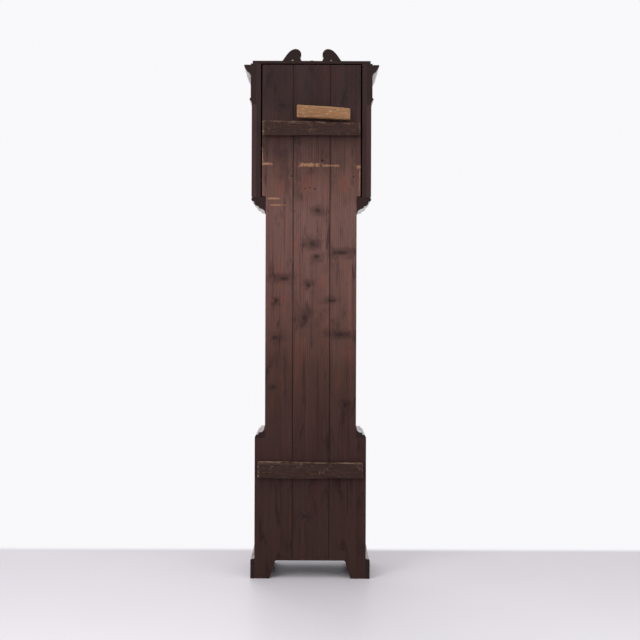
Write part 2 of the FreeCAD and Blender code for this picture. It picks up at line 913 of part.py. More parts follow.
def trunk_door():
    body_half = door_opening_half - door_gap
    body = slab(-body_half, body_half, lock_depth0, trunk_depth + lip_gap,
                door_sill_z + door_gap, door_top_z - door_gap)
    lip_half = door_opening_half + door_lip
    lip = slab(-lip_half, lip_half, trunk_depth + lip_gap, door_front,
               door_sill_z - door_lip, door_top_z + door_lip)
    rim = [e for e in lip.Edges if all(abs(v.Y - y_at(door_front)) < same_place for v in e.Vertexes)]
    lip = lip.makeFillet(door_lip_thickness * door_lip_round_share, rim)
    door = as_one([body, lip])
    hole = key_stem_radius + key_hole_clearance
    door = door.cut(rod_y(key_x, key_z, hole, lock_depth0 - cut_over, door_front + cut_over))
    slot = slab(key_x - hole, key_x + hole, lock_depth0 - cut_over, door_front + cut_over,
                key_z - key_bit_length - hole - key_hole_clearance, key_z)
    return door.cut(slot)


def hinge_knuckles(spans, z):
    return [rod_z(door_hinge_x, door_hinge_depth, hinge_knuckle_radius, z + a, z + b) for a, b in spans]


def hinge_heights():
    return (door_sill_z + hinge_inset, door_top_z - hinge_inset)


def trunk_hinges():
    """The leaves on the case: their two end knuckles, held by a pin."""
    third = hinge_length / 3
    made = []
    for z in hinge_heights():
        ends = [(-hinge_length / 2, -third / 2), (third / 2, hinge_length / 2)]
        for (a, b), knuckle in zip(ends, hinge_knuckles(ends, z)):
            leaf = slab(door_hinge_x, door_hinge_x + hinge_leaf_width, trunk_depth,
                        trunk_depth + 2 * hinge_leaf_thickness, z + a, z + b)
            made.append(as_one([leaf, knuckle]))
    return made


def door_hinge_leaves():
    third = hinge_length / 3
    front = door_hinge_depth + hinge_knuckle_radius
    made = []
    for z in hinge_heights():
        span = (hinge_split - third / 2, third / 2 - hinge_split)
        knuckle = hinge_knuckles([span], z)[0]
        leaf = slab(door_hinge_x - hinge_leaf_width, door_hinge_x, door_front, front,
                    z + span[0], z + span[1])
        made.append(as_one([leaf, knuckle]))
    return made


def door_lock():
    """A hollow lock case screwed to the inside of the door."""
    x0 = lock_edge + lock_edge_inset
    x1 = x0 + lock_width
    z0, z1 = lock_z - lock_height / 2, lock_z + lock_height / 2
    d1 = lock_depth0
    d0 = d1 - lock_case_depth
    case = slab(x0, x1, d0, d1, z0, z1)
    room = slab(x0 + lock_wall, x1 - lock_wall, d0 + lock_wall, d1 - lock_wall,
                z0 + lock_wall, z1 - lock_wall)
    case = case.cut(room)
    hole = key_stem_radius + key_hole_clearance
    case = case.cut(rod_y(key_x, key_z, hole, d1 - 2 * lock_wall, d1 + cut_over))
    case = case.cut(slab(key_x - hole, key_x + hole, d1 - 2 * lock_wall, d1 + cut_over,
                         key_z - key_bit_length - hole - key_hole_clearance, key_z))
    gap = bolt_clearance
    half_depth, half_height = bolt_thickness / 2 + gap, bolt_height / 2 + gap
    slot = slab(x0 - cut_over, x0 + 2 * lock_wall, bolt_depth - half_depth, bolt_depth + half_depth,
                bolt_z - half_height, bolt_z + half_height)
    return case.cut(slot)


def lock_bolt():
    x0 = lock_edge + lock_edge_inset
    return slab(x0, x0 + lock_width / 2, bolt_depth - bolt_thickness / 2, bolt_depth + bolt_thickness / 2,
                bolt_z - bolt_height / 2, bolt_z + bolt_height / 2)


def door_key():
    d0 = lock_depth0 - lock_case_depth + lock_wall + bolt_clearance
    d1 = door_front + key_reach
    stem = rod_y(key_x, key_z, key_stem_radius, d0, d1 - key_bow_radius)
    bow = Part.makeTorus(key_bow_radius, key_bow_wire, V(key_x, y_at(d1), key_z), V(1, 0, 0))
    bit = slab(key_x - key_bit_thickness / 2, key_x + key_bit_thickness / 2, d0, d0 + key_bit_width,
               key_z - key_stem_radius - key_bit_length, key_z)
    return as_one([stem, bow, bit])


# Wheels and pinions

def ring_points(cx, cz, polar):
    return [(cx + r * math.cos(a), cz + r * math.sin(a)) for r, a in polar]


def wheel_teeth(teeth, module, mate_leaves, turn):
    """Outline of a clock wheel: radial flanks up to the pitch circle, then the chords of epicycloids."""
    pitch_r = teeth * module / 2
    rolling = mate_leaves * module / 4
    step = 2 * math.pi / teeth
    half = tooth_width_share * step / 2
    root_r = pitch_r - tooth_root_share * module
    tip_r, angle = pitch_r, 0.0
    rolled = 0.0
    while tip_r < pitch_r + tooth_top_share * module and angle < half * tooth_tip_share:
        rolled += half / tooth_curve_steps
        around = (pitch_r + rolling) / rolling * rolled
        x = (pitch_r + rolling) * math.cos(rolled) - rolling * math.cos(around)
        y = (pitch_r + rolling) * math.sin(rolled) - rolling * math.sin(around)
        tip_r, angle = math.hypot(x, y), math.atan2(y, x)
    flank = [(root_r, half), (pitch_r, half), (tip_r, half - angle)]
    polar = []
    for k in range(teeth):
        mid = turn + k * step
        polar += [(r, mid - a) for r, a in flank]
        polar += [(r, mid + a) for r, a in reversed(flank)]
    return polar


def pinion_leaves(leaves, module, turn):
    """Outline of a pinion: narrow radial leaves with rounded tips."""
    pitch_r = leaves * module / 2
    step = 2 * math.pi / leaves
    half = leaf_width_share * step / 2
    leaf_shape = [(pitch_r + rise * module, width) for rise, width in leaf_shares]
    polar = []
    for k in range(leaves):
        mid = turn + k * step
        polar += [(r, mid - half * w) for r, w in leaf_shape]
        polar += [(r, mid + half * w) for r, w in reversed(leaf_shape)]
    return polar


def toward(a, b):
    return math.atan2(b[1] - a[1], b[0] - a[0])


def solid_from(centre, polar, d0, d1):
    return polygon_y(ring_points(centre[0], centre[1], polar), d0, d1)


def wheel(centre, polar, rim, bore, d0, thickness):
    """A toothed brass disc, bored for its arbor and crossed out with four arms."""
    def place(x, z):
        return V(centre[0] + x, y_at(d0), centre[1] + z)

    points = ring_points(0, 0, polar)
    wires = [outline_wire(place, points[0], [(p,) for p in points[1:]]),
             Part.Wire([Part.makeCircle(bore, place(0, 0), V(0, 1, 0))])]
    boss = bore + hub_radius * boss_share
    arm = hub_radius * arm_share
    if rim > boss * least_rim_share:
        out, near = math.sqrt(rim ** 2 - arm ** 2), math.sqrt(boss ** 2 - arm ** 2)
        diagonal = 1 / math.sqrt(2)
        for turn in range(4):
            c, s = round(math.cos(turn * math.pi / 2)), round(math.sin(turn * math.pi / 2))
            corners = [(out, arm), (rim * diagonal, rim * diagonal), (arm, out),
                       (arm, near), (boss * diagonal, boss * diagonal), (near, arm)]
            turned = [(x * c - z * s, x * s + z * c) for x, z in corners]
            wires.append(outline_wire(place, turned[0], [turned[1:3], turned[3:4], turned[4:6]]))
    face = Part.makeFace(wires, "Part::FaceMakerBullseye")
    return face.extrude(V(0, -thickness, 0))


def toothed(centre, teeth, module, mate_leaves, mate, d0,
            thickness=wheel_thickness, bore=arbor_radius, gap=0):
    """A wheel with a tooth, or for a gap of 1 a space, on the line to its mate."""
    turn = toward(centre, mate) + gap * math.pi / teeth
    polar = wheel_teeth(teeth, module, mate_leaves, turn)
    return wheel(centre, polar, teeth * module / 2 - rim_share * module, bore, d0, thickness)


def pinion(centre, leaves, module, mate, d0, length):
    """A pinion with the gap between two leaves on the line to its mate."""
    turn = toward(centre, mate) + math.pi / leaves
    return solid_from(centre, pinion_leaves(leaves, module, turn), d0, d0 + length)


def arbor(centre, radius=arbor_radius, front=None):
    """A shaft between the plates with a pivot in each, or carried on through the front."""
    x, z = centre
    inner0, inner1 = plate_in + arbor_endshake, front_plate_depth - arbor_endshake
    pieces = [rod_y(x, z, radius, inner0, inner1),
              rod_y(x, z, pivot_radius, back_plate_depth, front or front_plate_face)]
    return pieces


def from_dial(x, z):
    return (x, dial_z + z)


def polar_from(centre, distance, degrees):
    a = math.radians(degrees)
    return (centre[0] + distance * math.cos(a), centre[1] + distance * math.sin(a))


def mesh_distance(teeth, leaves, module):
    return (teeth + leaves) * module / 2


centre_at = from_dial(0, 0)
great_at = polar_from(centre_at, mesh_distance(great_teeth, centre_leaves, great_module), great_turn)
strike_at = (-great_at[0], great_at[1])
escape_at = from_dial(0, seconds_height)
centre_third = mesh_distance(centre_teeth, third_leaves, centre_module)
third_escape = mesh_distance(third_teeth, escape_leaves, third_module)
third_up = (seconds_height ** 2 + centre_third ** 2 - third_escape ** 2) / (2 * seconds_height)
third_at = from_dial(math.sqrt(centre_third ** 2 - third_up ** 2), third_up)
pallet_at = from_dial(0, seconds_height + pallet_height)
pin_at = polar_from(strike_at, mesh_distance(great_teeth, centre_leaves, great_module), pin_turn)
gather_at = polar_from(pin_at, mesh_distance(pin_teeth, gather_leaves, pin_module), gather_turn)
warning_at = polar_from(gather_at, mesh_distance(gather_teeth, warning_leaves, gather_module), warning_turn)
fly_at = polar_from(warning_at, mesh_distance(warning_teeth, fly_leaves, warning_module), fly_turn)
minute_at = polar_from(centre_at, motion_teeth * motion_module, minute_turn)
hour_module = 2 * motion_teeth * motion_module / (hour_teeth + minute_leaves)
hammer_at = from_dial(hammer_x, hammer_z)

line_outer_x = great_at[0] + barrel_radius + line_gap + line_radius
line_inner_x = line_outer_x - 2 * pulley_radius
line_depth = plate_in + great_wheel_in + great_thickness + barrel_length * line_depth_share
weight_x = (line_outer_x + line_inner_x) / 2
pulley_z = seat_z - seatboard_thickness - weight_drop

hammer_depth = plate_in + hammer_arm_in
bell_x = hammer_x + hammer_head_length / 2 + bell_gap + bell_radius
cannon_depth = front_plate_face + motion_gap
hour_wheel_depth = cannon_depth + wheel_thickness + motion_gap
hour_hand_depth = dial_depth + hand_gap
minute_hand_depth = hour_hand_depth + hand_thickness + hand_gap
seconds_hand_depth = dial_depth + seconds_hand_gap
cannon_pipe_radius = arbor_radius + hand_thickness
hour_pipe_radius = cannon_pipe_radius + hand_thickness


# Movement frame

def corner_posts():
    x = plate_half - pillar_inset_x
    return [(side * x, z) for side in (-1, 1)
            for z in (dial_z - plate_below + pillar_inset_z, dial_z + plate_above - pillar_inset_z)]


def movement_frame():
    """Two brass plates with pivot holes, and the four pillars between them."""
    z0, z1 = dial_z - plate_below, dial_z + plate_above
    back = slab(-plate_half, plate_half, back_plate_depth, plate_in, z0, z1)
    front = slab(-plate_half, plate_half, front_plate_depth, front_plate_face, z0, z1)
    hole = pivot_radius + pivot_clearance
    for at in (third_at, pin_at, gather_at, warning_at, fly_at, hammer_at, centre_at, escape_at):
        bore = rod_y(at[0], at[1], hole, back_plate_depth - cut_over, front_plate_face + cut_over)
        back, front = back.cut(bore), front.cut(bore)
    wide = barrel_arbor_radius + barrel_arbor_clearance
    for at in (great_at, strike_at):
        bore = rod_y(at[0], at[1], wide, back_plate_depth - cut_over, front_plate_face + cut_over)
        back, front = back.cut(bore), front.cut(bore)
    carried = rod_y(centre_at[0], centre_at[1], arbor_radius + pivot_clearance,
                    front_plate_depth - cut_over, front_plate_face + cut_over)
    front = front.cut(carried)
    back = back.cut(rod_y(pallet_at[0], pallet_at[1], anchor_hub_radius,
                          back_plate_depth - cut_over, plate_in + cut_over))
    front = front.cut(rod_y(pallet_at[0], pallet_at[1], hole,
                            front_plate_depth - cut_over, front_plate_face + cut_over))
    posts = [rod_y(x, z, pillar_radius, plate_in, front_plate_depth) for x, z in corner_posts()]
    stud = rod_y(minute_at[0], minute_at[1], stud_radius, front_plate_face,
                 front_plate_face + motion_gap * 3 + wheel_thickness + pinion_length)
    return [back, front, stud] + posts


def back_cock():
    """The bracket behind the back plate that carries the pallet arbor and the pendulum."""
    x, z = pallet_at
    half = cock_width / 2
    d0 = pendulum_depth - spring_width / 2 - cock_thickness
    low, high = z - cock_height / 2, z + cock_height / 2
    bridge_depth = d0 + 3 * cock_thickness + spring_width
    plate = slab(x - half, x + half, bridge_depth - cock_thickness, bridge_depth, low, high)
    feet = [slab(x + side * half - cock_foot / 2, x + side * half + cock_foot / 2,
                 bridge_depth - cock_thickness, back_plate_depth, low, high) for side in (-1, 1)]
    bore = rod_y(x, z, pivot_radius + pivot_clearance, d0, back_plate_depth)
    stud = slab(x - spring_block_width / 2, x + spring_block_width / 2, d0, bridge_depth,
                z, z + cock_height / 2)
    slot = slab(x - spring_thickness, x + spring_thickness, d0 - cut_over,
                pendulum_depth + spring_width / 2 + cock_thickness / 2, z - cut_over,
                z + cock_height / 2 - cock_thickness)
    return as_one([plate] + feet + [stud]).cut(bore).cut(slot)


def dial_plate():
    plate = slab(-dial_half, dial_half, dial_back, dial_depth, dial_z - dial_half, dial_z + dial_half)
    for at, radius in ((centre_at, hub_radius + hand_gap), (great_at, winding_hole_radius),
                       (strike_at, winding_hole_radius), (escape_at, arbor_radius + hand_gap / 2)):
        plate = plate.cut(rod_y(at[0], at[1], radius, dial_back - cut_over, dial_depth + cut_over))
    across, up = dial_post_shares
    posts = [rod_y(x * across, dial_z + (z - dial_z) * up, dial_post_radius, front_plate_face, dial_back)
             for x, z in corner_posts()]
    return as_one([plate] + posts)


def bell():
    """The hour bell, mouth down, on a bent stand from the back plate."""
    z0 = dial_z + bell_rim_height
    depth = hammer_depth
    x = bell_x
    outer = Part.makeSphere(bell_radius, V(0, 0, 0), V(0, 0, 1), 0, 90, 360)
    inner = Part.makeSphere(bell_radius - bell_wall, V(0, 0, 0), V(0, 0, 1), 0, 90, 360)
    dome = outer.cut(inner)
    stretch = FreeCAD.Matrix()
    stretch.scale(V(1, 1, bell_height / bell_radius))
    dome = dome.transformGeometry(stretch)
    dome.translate(V(x, y_at(depth), z0))
    crown = z0 + bell_height
    dome = dome.cut(rod_z(x, depth, bell_stand_radius, z0, crown + cut_over))
    arm_z = z0 + bell_gap
    past = bell_stand_radius * bell_post_share
    nut_radius, nut_height = [bell_stand_radius * share for share in bell_nut_shares]
    post = rod_z(x, depth, bell_stand_radius, arm_z - past, crown + 2 * bell_stand_radius)
    nut = rod_z(x, depth, nut_radius, crown, crown + nut_height)
    arm_depth = back_plate_depth - bell_stand_radius
    arm = rod_y(x, arm_z, bell_stand_radius * bell_arm_share, arm_depth, depth)
    leg = rod_z(x, arm_depth, bell_stand_radius, dial_z + plate_above - cut_over * 2, arm_z + past)
    return [dome, as_one([post, nut, arm, leg])]


# Going train

def barrel(centre, d0):
    """A grooved drum with its flanges, ratchet and arbor, which ends in a winding square."""
    x, z = centre
    d1 = d0 + barrel_length
    drum = rod_y(x, z, barrel_radius, d0, d1)
    rims = [rod_y(x, z, barrel_radius + barrel_flange, d, d + flange_thickness)
            for d in (d0, d1 - flange_thickness)]
    shaft = rod_y(x, z, barrel_arbor_radius, back_plate_depth, front_plate_face)
    neck = rod_y(x, z, barrel_arbor_radius * barrel_neck_share, front_plate_face, dial_depth)
    behind, proud = [square_length * share for share in square_shares]
    square = slab(x - square_half, x + square_half, dial_depth - behind, dial_depth + proud,
                  z - square_half, z + square_half)
    return as_one([drum] + rims + [shaft, neck, square])


def great_wheel(centre, mate, d0):
    """The great wheel, which turns on the barrel's arbor."""
    return toothed(centre, great_teeth, great_module, centre_leaves, mate, d0, great_thickness,
                   barrel_arbor_radius + barrel_arbor_clearance)


def going_great_wheel():
    return great_wheel(great_at, centre_at, plate_in + great_wheel_in)


def going_barrel():
    return barrel(great_at, plate_in + great_wheel_in + great_thickness + ratchet_gap)


def strike_great_wheel():
    return great_wheel(strike_at, pin_at, plate_in + strike_great_in)


def strike_barrel():
    return barrel(strike_at, plate_in + strike_great_in + great_thickness + ratchet_gap)


def centre_wheel():
    """The centre arbor, its pinion, its wheel and the long front end that carries the hands."""
    x, z = centre_at
    w0 = plate_in + centre_wheel_in
    p0 = plate_in + great_wheel_in + great_thickness / 2 - pinion_length / 2
    pieces = [pinion(centre_at, centre_leaves, great_module, great_at, p0, pinion_length),
              rod_y(x, z, arbor_radius, plate_in + arbor_endshake, minute_hand_depth + hand_thickness),
              rod_y(x, z, pivot_radius, back_plate_depth, plate_in + cut_over)]
    disc = toothed(centre_at, centre_teeth, centre_module, third_leaves, third_at, w0)
    return [disc, as_one(pieces)]


def third_wheel():
    w0 = plate_in + third_wheel_in
    p0 = plate_in + centre_wheel_in + wheel_thickness / 2 - pinion_length / 2
    p0 = max(p0, plate_in + arbor_endshake)
    disc = toothed(third_at, third_teeth, third_module, escape_leaves, escape_at, w0)
    lead = pinion(third_at, third_leaves, centre_module, centre_at, p0, short_pinion_length)
    return [disc, as_one([lead] + arbor(third_at))]


def escape_wheel():
    """Escape wheel with hooked pointed teeth, its pinion and arbor."""
    step = 2 * math.pi / escape_teeth
    polar = []
    root = escape_radius * escape_root_share
    for k in range(escape_teeth):
        turns = [(k + share) * step for share in escape_tooth_shares]
        polar += list(zip((root, escape_radius, escape_radius, root), turns))
    w0 = plate_in + escape_wheel_in
    disc = wheel(escape_at, polar, escape_radius * escape_rim_share, arbor_radius, w0, wheel_thickness)
    p0 = plate_in + third_wheel_in + wheel_thickness / 2 - pinion_length / 2
    lead = pinion(escape_at, escape_leaves, third_module, third_at, p0, pinion_length)
    return [disc, as_one([lead] + arbor(escape_at, front=seconds_hand_depth + hand_thickness))]


def pointer(centre, length, width, tail, turn, d0):
    """A plain tapered hand with a round boss and a disc near its tip."""
    x, z = centre
    taper, shoulder = width * hand_taper_share, z + length * hand_shoulder_share
    blade = polygon_y([(x - width / 2, z - tail), (x + width / 2, z - tail), (x + taper, shoulder),
                       (x, z + length), (x - taper, shoulder)], d0, d0 + hand_thickness)
    boss = rod_y(x, z, width * hand_boss_share, d0, d0 + hand_thickness)
    up, wide = hand_ring_shares
    ring = rod_y(x, z + length * up, width * wide, d0, d0 + hand_thickness)
    hand = as_one([blade, boss, ring])
    hand.rotate(V(x, 0, z), V(0, 1, 0), turn)
    return hand


def tube(centre, radius, bore, d0, d1):
    x, z = centre
    return rod_y(x, z, radius, d0, d1).cut(rod_y(x, z, bore, d0 - cut_over, d1 + cut_over))


def cannon_wheel():
    """The wheel and pipe that ride on the centre arbor and carry the minute hand."""
    disc = toothed(centre_at, motion_teeth, motion_module, motion_teeth, minute_at, cannon_depth,
                   bore=cannon_pipe_radius)
    return [disc, tube(centre_at, cannon_pipe_radius, arbor_radius, cannon_depth, minute_hand_depth)]


def minute_hand():
    x, z = centre_at
    hand = pointer(centre_at, minute_hand_length, hub_radius, 0, 0, minute_hand_depth)
    return hand.cut(rod_y(x, z, arbor_radius, minute_hand_depth - cut_over, minute_hand_depth + cut_over))


def minute_wheel():
    """The wheel and pinion beside the cannon pipe, on a stud of the front plate."""
    x, z = minute_at
    disc = toothed(minute_at, motion_teeth, motion_module, motion_teeth, centre_at, cannon_depth,
                   bore=stud_radius + pivot_clearance, gap=1)
    lead = pinion(minute_at, minute_leaves, hour_module, centre_at, cannon_depth + wheel_thickness,
                  motion_gap + pinion_length)
    bore = rod_y(x, z, stud_radius + pivot_clearance, cannon_depth - cut_over,
                 hour_wheel_depth + pinion_length + cut_over)
    return [disc, lead.cut(bore)]


def hour_wheel():
    """The hour wheel and the pipe that carries the hour hand."""
    disc = toothed(centre_at, hour_teeth, hour_module, minute_leaves, minute_at, hour_wheel_depth,
                   bore=hour_pipe_radius)
    bore = cannon_pipe_radius + pivot_clearance
    return [disc, tube(centre_at, hour_pipe_radius, bore, hour_wheel_depth, hour_hand_depth)]


def hour_hand():
    x, z = centre_at
    width = hub_radius * hour_hand_width_share
    hand = pointer(centre_at, hour_hand_length, width, 0, hour_hand_turn, hour_hand_depth)
    return hand.cut(rod_y(x, z, cannon_pipe_radius + pivot_clearance, hour_hand_depth - cut_over,
                          hour_hand_depth + cut_over))


def seconds_hand():
    x, z = escape_at
    tail = seconds_hand_length * seconds_tail_share
    hand = pointer(escape_at, seconds_hand_length, arbor_radius, tail, 0, seconds_hand_depth)
    return hand.cut(rod_y(x, z, pivot_radius, seconds_hand_depth - cut_over, seconds_hand_depth + cut_over))


# Strike train

def strike_arbor(centre, teeth, module, mate_leaves, mate, wheel_in, leaves, lead_module, driver, driver_in):
    """One arbor of the strike train, with the wheel that drives and the pinion that is driven."""
    w0 = plate_in + wheel_in
    p0 = plate_in + driver_in + wheel_thickness / 2 - pinion_length / 2
    disc = toothed(centre, teeth, module, mate_leaves, mate, w0)
    return [disc, as_one([pinion(centre, leaves, lead_module, driver, p0, pinion_length)] + arbor(centre))]


def pin_wheel():
    pieces = strike_arbor(pin_at, pin_teeth, pin_module, gather_leaves, gather_at, pin_wheel_in,
                          centre_leaves, great_module, strike_at, strike_great_in)
    face = plate_in + pin_wheel_in + wheel_thickness
    for k in range(strike_pin_count):
        x, z = polar_from(pin_at, strike_pin_circle, 360 * k / strike_pin_count)
        pieces.append(rod_y(x, z, strike_pin_radius, face, face + strike_pin_length))
    return pieces


def gathering_wheel():
    return strike_arbor(gather_at, gather_teeth, gather_module, warning_leaves, warning_at,
                        gather_wheel_in, gather_leaves, pin_module, pin_at, pin_wheel_in)


def warning_wheel():
    return strike_arbor(warning_at, warning_teeth, warning_module, fly_leaves, fly_at,
                        warning_wheel_in, warning_leaves, gather_module, gather_at, gather_wheel_in)


def strike_fly():
    x, z = fly_at
    p0 = plate_in + warning_wheel_in + wheel_thickness / 2 - pinion_length / 2
    v0 = p0 + pinion_length + hub_length
    vane = slab(x - fly_half, x + fly_half, v0, v0 + fly_width, z - fly_thickness / 2, z + fly_thickness / 2)
    sleeve = rod_y(x, z, arbor_radius + fly_thickness, v0, v0 + fly_width)
    return as_one([pinion(fly_at, fly_leaves, warning_module, warning_at, p0, pinion_length), vane, sleeve]
                  + arbor(fly_at, radius=pivot_radius))


def strike_hammer():
    """The hammer arbor, its arm and head, and the tail beside the pins."""
    x, z = hammer_at
    top = dial_z + bell_rim_height + hammer_head_radius * hammer_head_share
    arm = rod_z(x, hammer_depth, hammer_arm_radius, z, top)
    half = hammer_head_length / 2
    head = rod_x(x - half, x + half, hammer_depth, top, hammer_head_radius)
    reach = pin_at[0] - strike_pin_circle - strike_pin_radius - hammer_tail_gap
    t0 = plate_in + pin_wheel_in + wheel_thickness + strike_pin_length / 4
    tail = slab(x, reach, t0, t0 + wheel_thickness, z - hammer_arm_radius, z + hammer_arm_radius)
    return as_one([arm, head, tail] + arbor(hammer_at))


# Escapement and pendulum

def pallet_anchor():
    """The anchor over the escape wheel, its arbor, and the crutch behind the back plate."""
    x, z = pallet_at
    d0 = plate_in + escape_wheel_in + wheel_thickness / 2 - anchor_thickness / 2
    inner = escape_radius + anchor_gap
    outer = inner + anchor_width
    span = math.radians(anchor_span)
    tip_r, tip_turn = outer * anchor_tip_shares[0], span * anchor_tip_shares[1]
    ex, ez = escape_at

    def at(r, a):
        return (ex + r * math.sin(a), ez + r * math.cos(a))

    arc = plate_y(at(inner, -span), [
        (at(inner, 0), at(inner, span)),
        (at(tip_r, tip_turn),),
        (at(outer, 0), at(tip_r, -tip_turn)),
    ], d0, d0 + anchor_thickness)
    hub = rod_y(x, z, anchor_hub_radius * anchor_hub_share, d0, d0 + anchor_thickness)
    staff = rod_y(x, z, arbor_radius, plate_in + arbor_endshake, front_plate_depth - arbor_endshake)
    cock_face = pendulum_depth + spring_width / 2 + 2 * cock_thickness + arbor_endshake
    tip_depth = pendulum_depth + spring_width / 2 + cock_thickness * cock_reach_share
    tips = rod_y(x, z, pivot_radius, tip_depth, front_plate_face)
    rear = rod_y(x, z, arbor_radius * staff_share, cock_face, plate_in + cut_over)
    wire = crutch_radius
    low = z - crutch_length
    crutch = rod_z(x, crutch_depth, wire, low, z)
    foot = rod_y(x, low, wire, pendulum_depth + rod_radius + crutch_fork_gap + fork_wire, crutch_depth)
    side = rod_radius + crutch_fork_gap
    bar_depth = pendulum_depth + side + fork_wire
    bar = slab(x - side - fork_wire, x + side + fork_wire,
               bar_depth - fork_wire / 2, bar_depth + fork_wire / 2, low - wire, low + wire)
    prong = slab(x + side, x + side + fork_wire, pendulum_depth - rod_radius, bar_depth,
                 low - wire, low + wire)
    return as_one([arc, hub, staff, tips, rear, crutch, foot, bar] + both_sides(prong))


def pendulum_rod():
    """Suspension spring in its brass ends, a steel rod, and the rating nut under the bob."""
    x, z = pallet_at
    d = pendulum_depth
    w = spring_width / 2
    spring = slab(x - spring_thickness / 2, x + spring_thickness / 2, d - w, d + w, z - spring_length,
                  z + spring_above_axis)
    block = slab(x - spring_block_height / 2, x + spring_block_height / 2, d - w, d + w,
                 z - spring_length - spring_block_height, z - spring_length)
    bob_z = z - pendulum_length
    rod = rod_z(x, d, rod_radius, bob_z - bob_radius - rod_tail, z - spring_length - spring_block_height / 2)
    return as_one([spring, block, rod])


def pendulum_bob():
    """A lenticular bob, bored for the rod, with its rating nut below."""
    x, z = pallet_at
    bob_z = z - pendulum_length
    d = pendulum_depth
    edge = bob_thickness * bob_edge_share
    half = bob_thickness / 2
    out, over = bob_radius * bob_curve_shares[0], half * bob_curve_shares[1]

    def place(r, t):
        return V(x + r, y_at(d) - t, bob_z)

    wire = outline_wire(place, (0, -half), [
        ((out, -over), (bob_radius, -edge / 2)),
        ((bob_radius, edge / 2),),
        ((out, over), (0, half)),
    ])
    lens = Part.Face(wire).revolve(V(x, y_at(d), bob_z), V(0, 1, 0), 360)
    lens = lens.cut(rod_z(x, d, rod_radius, bob_z - bob_radius - cut_over, bob_z + bob_radius + cut_over))
    top = bob_z - bob_radius
    nut = rod_z(x, d, rating_nut_radius, top - rating_nut_height, top)
    nut = nut.cut(rod_z(x, d, rod_radius, top - rating_nut_height - cut_over, top + cut_over))
    return [lens, nut]


# Weights


def weight(side):
    """A cast weight on its hook, and the strap that carries the pulley."""
    x = side * weight_x
    hook_z = pulley_z - pulley_radius - weight_hook_height
    body = rod_z(x, line_depth, weight_radius, hook_z - weight_height, hook_z)
    rim = [e for e in body.Edges if len(e.Vertexes) == 1]
    body = body.makeFillet(weight_radius * weight_round_share, rim)
    half = pulley_thickness / 2 + strap_gap
    strap_z = hook_z + weight_hook_height * strap_start_share
    middles = [line_depth + s * (half + strap_thickness / 2) for s in (-1, 1)]
    cheeks = [slab(x - strap_width / 2, x + strap_width / 2,
                   d - strap_thickness / 2, d + strap_thickness / 2,
                   strap_z, pulley_z + strap_width / 2) for d in middles]
    bridge = slab(x - strap_width / 2, x + strap_width / 2, line_depth - half - strap_thickness,
                  line_depth + half + strap_thickness, strap_z - strap_thickness, strap_z)
    hook = rod_z(x, line_depth, strap_width / 4, hook_z - cut_over, strap_z)
    pin = rod_y(x, pulley_z, pulley_pin_radius, line_depth - half - strap_thickness,
                line_depth + half + strap_thickness)
    return as_one([body, bridge, hook, pin] + cheeks)


def pulley(side):
    x = side * weight_x
    d0 = line_depth - pulley_thickness / 2
    disc = rod_y(x, pulley_z, pulley_radius + pulley_groove, d0, d0 + pulley_thickness)
    half = line_radius + line_gap
    groove = Part.makeTorus(pulley_radius, half, V(x, y_at(line_depth), pulley_z), V(0, 1, 0))
    outer = rod_y(x, pulley_z, pulley_radius + 2 * pulley_groove, line_depth - half, line_depth + half)
    outer = outer.cut(rod_y(x, pulley_z, pulley_radius, d0, d0 + pulley_thickness))
    bore = rod_y(x, pulley_z, pulley_pin_radius + pulley_clearance,
                 d0 - cut_over, d0 + pulley_thickness + cut_over)
    return disc.cut(groove).cut(outer).cut(bore)


def gut_line(side):
    """One line: down from the barrel, round under the pulley, and up to the seatboard."""
    x0, x1 = side * line_outer_x, side * line_inner_x
    y = y_at(line_depth)
    top = great_at[1]
    a, b = V(x0, y, top), V(x0, y, pulley_z)
    c, d = V(x1, y, pulley_z), V(x1, y, seat_z)
    low = V(side * weight_x, y, pulley_z - pulley_radius)
    path = Part.Wire([Part.LineSegment(a, b).toShape(), Part.Arc(b, low, c).toShape(),
                      Part.LineSegment(c, d).toShape()])
    section = Part.Wire([Part.makeCircle(line_radius, a, V(0, 0, 1))])
    return path.makePipeShell([section], True, True)


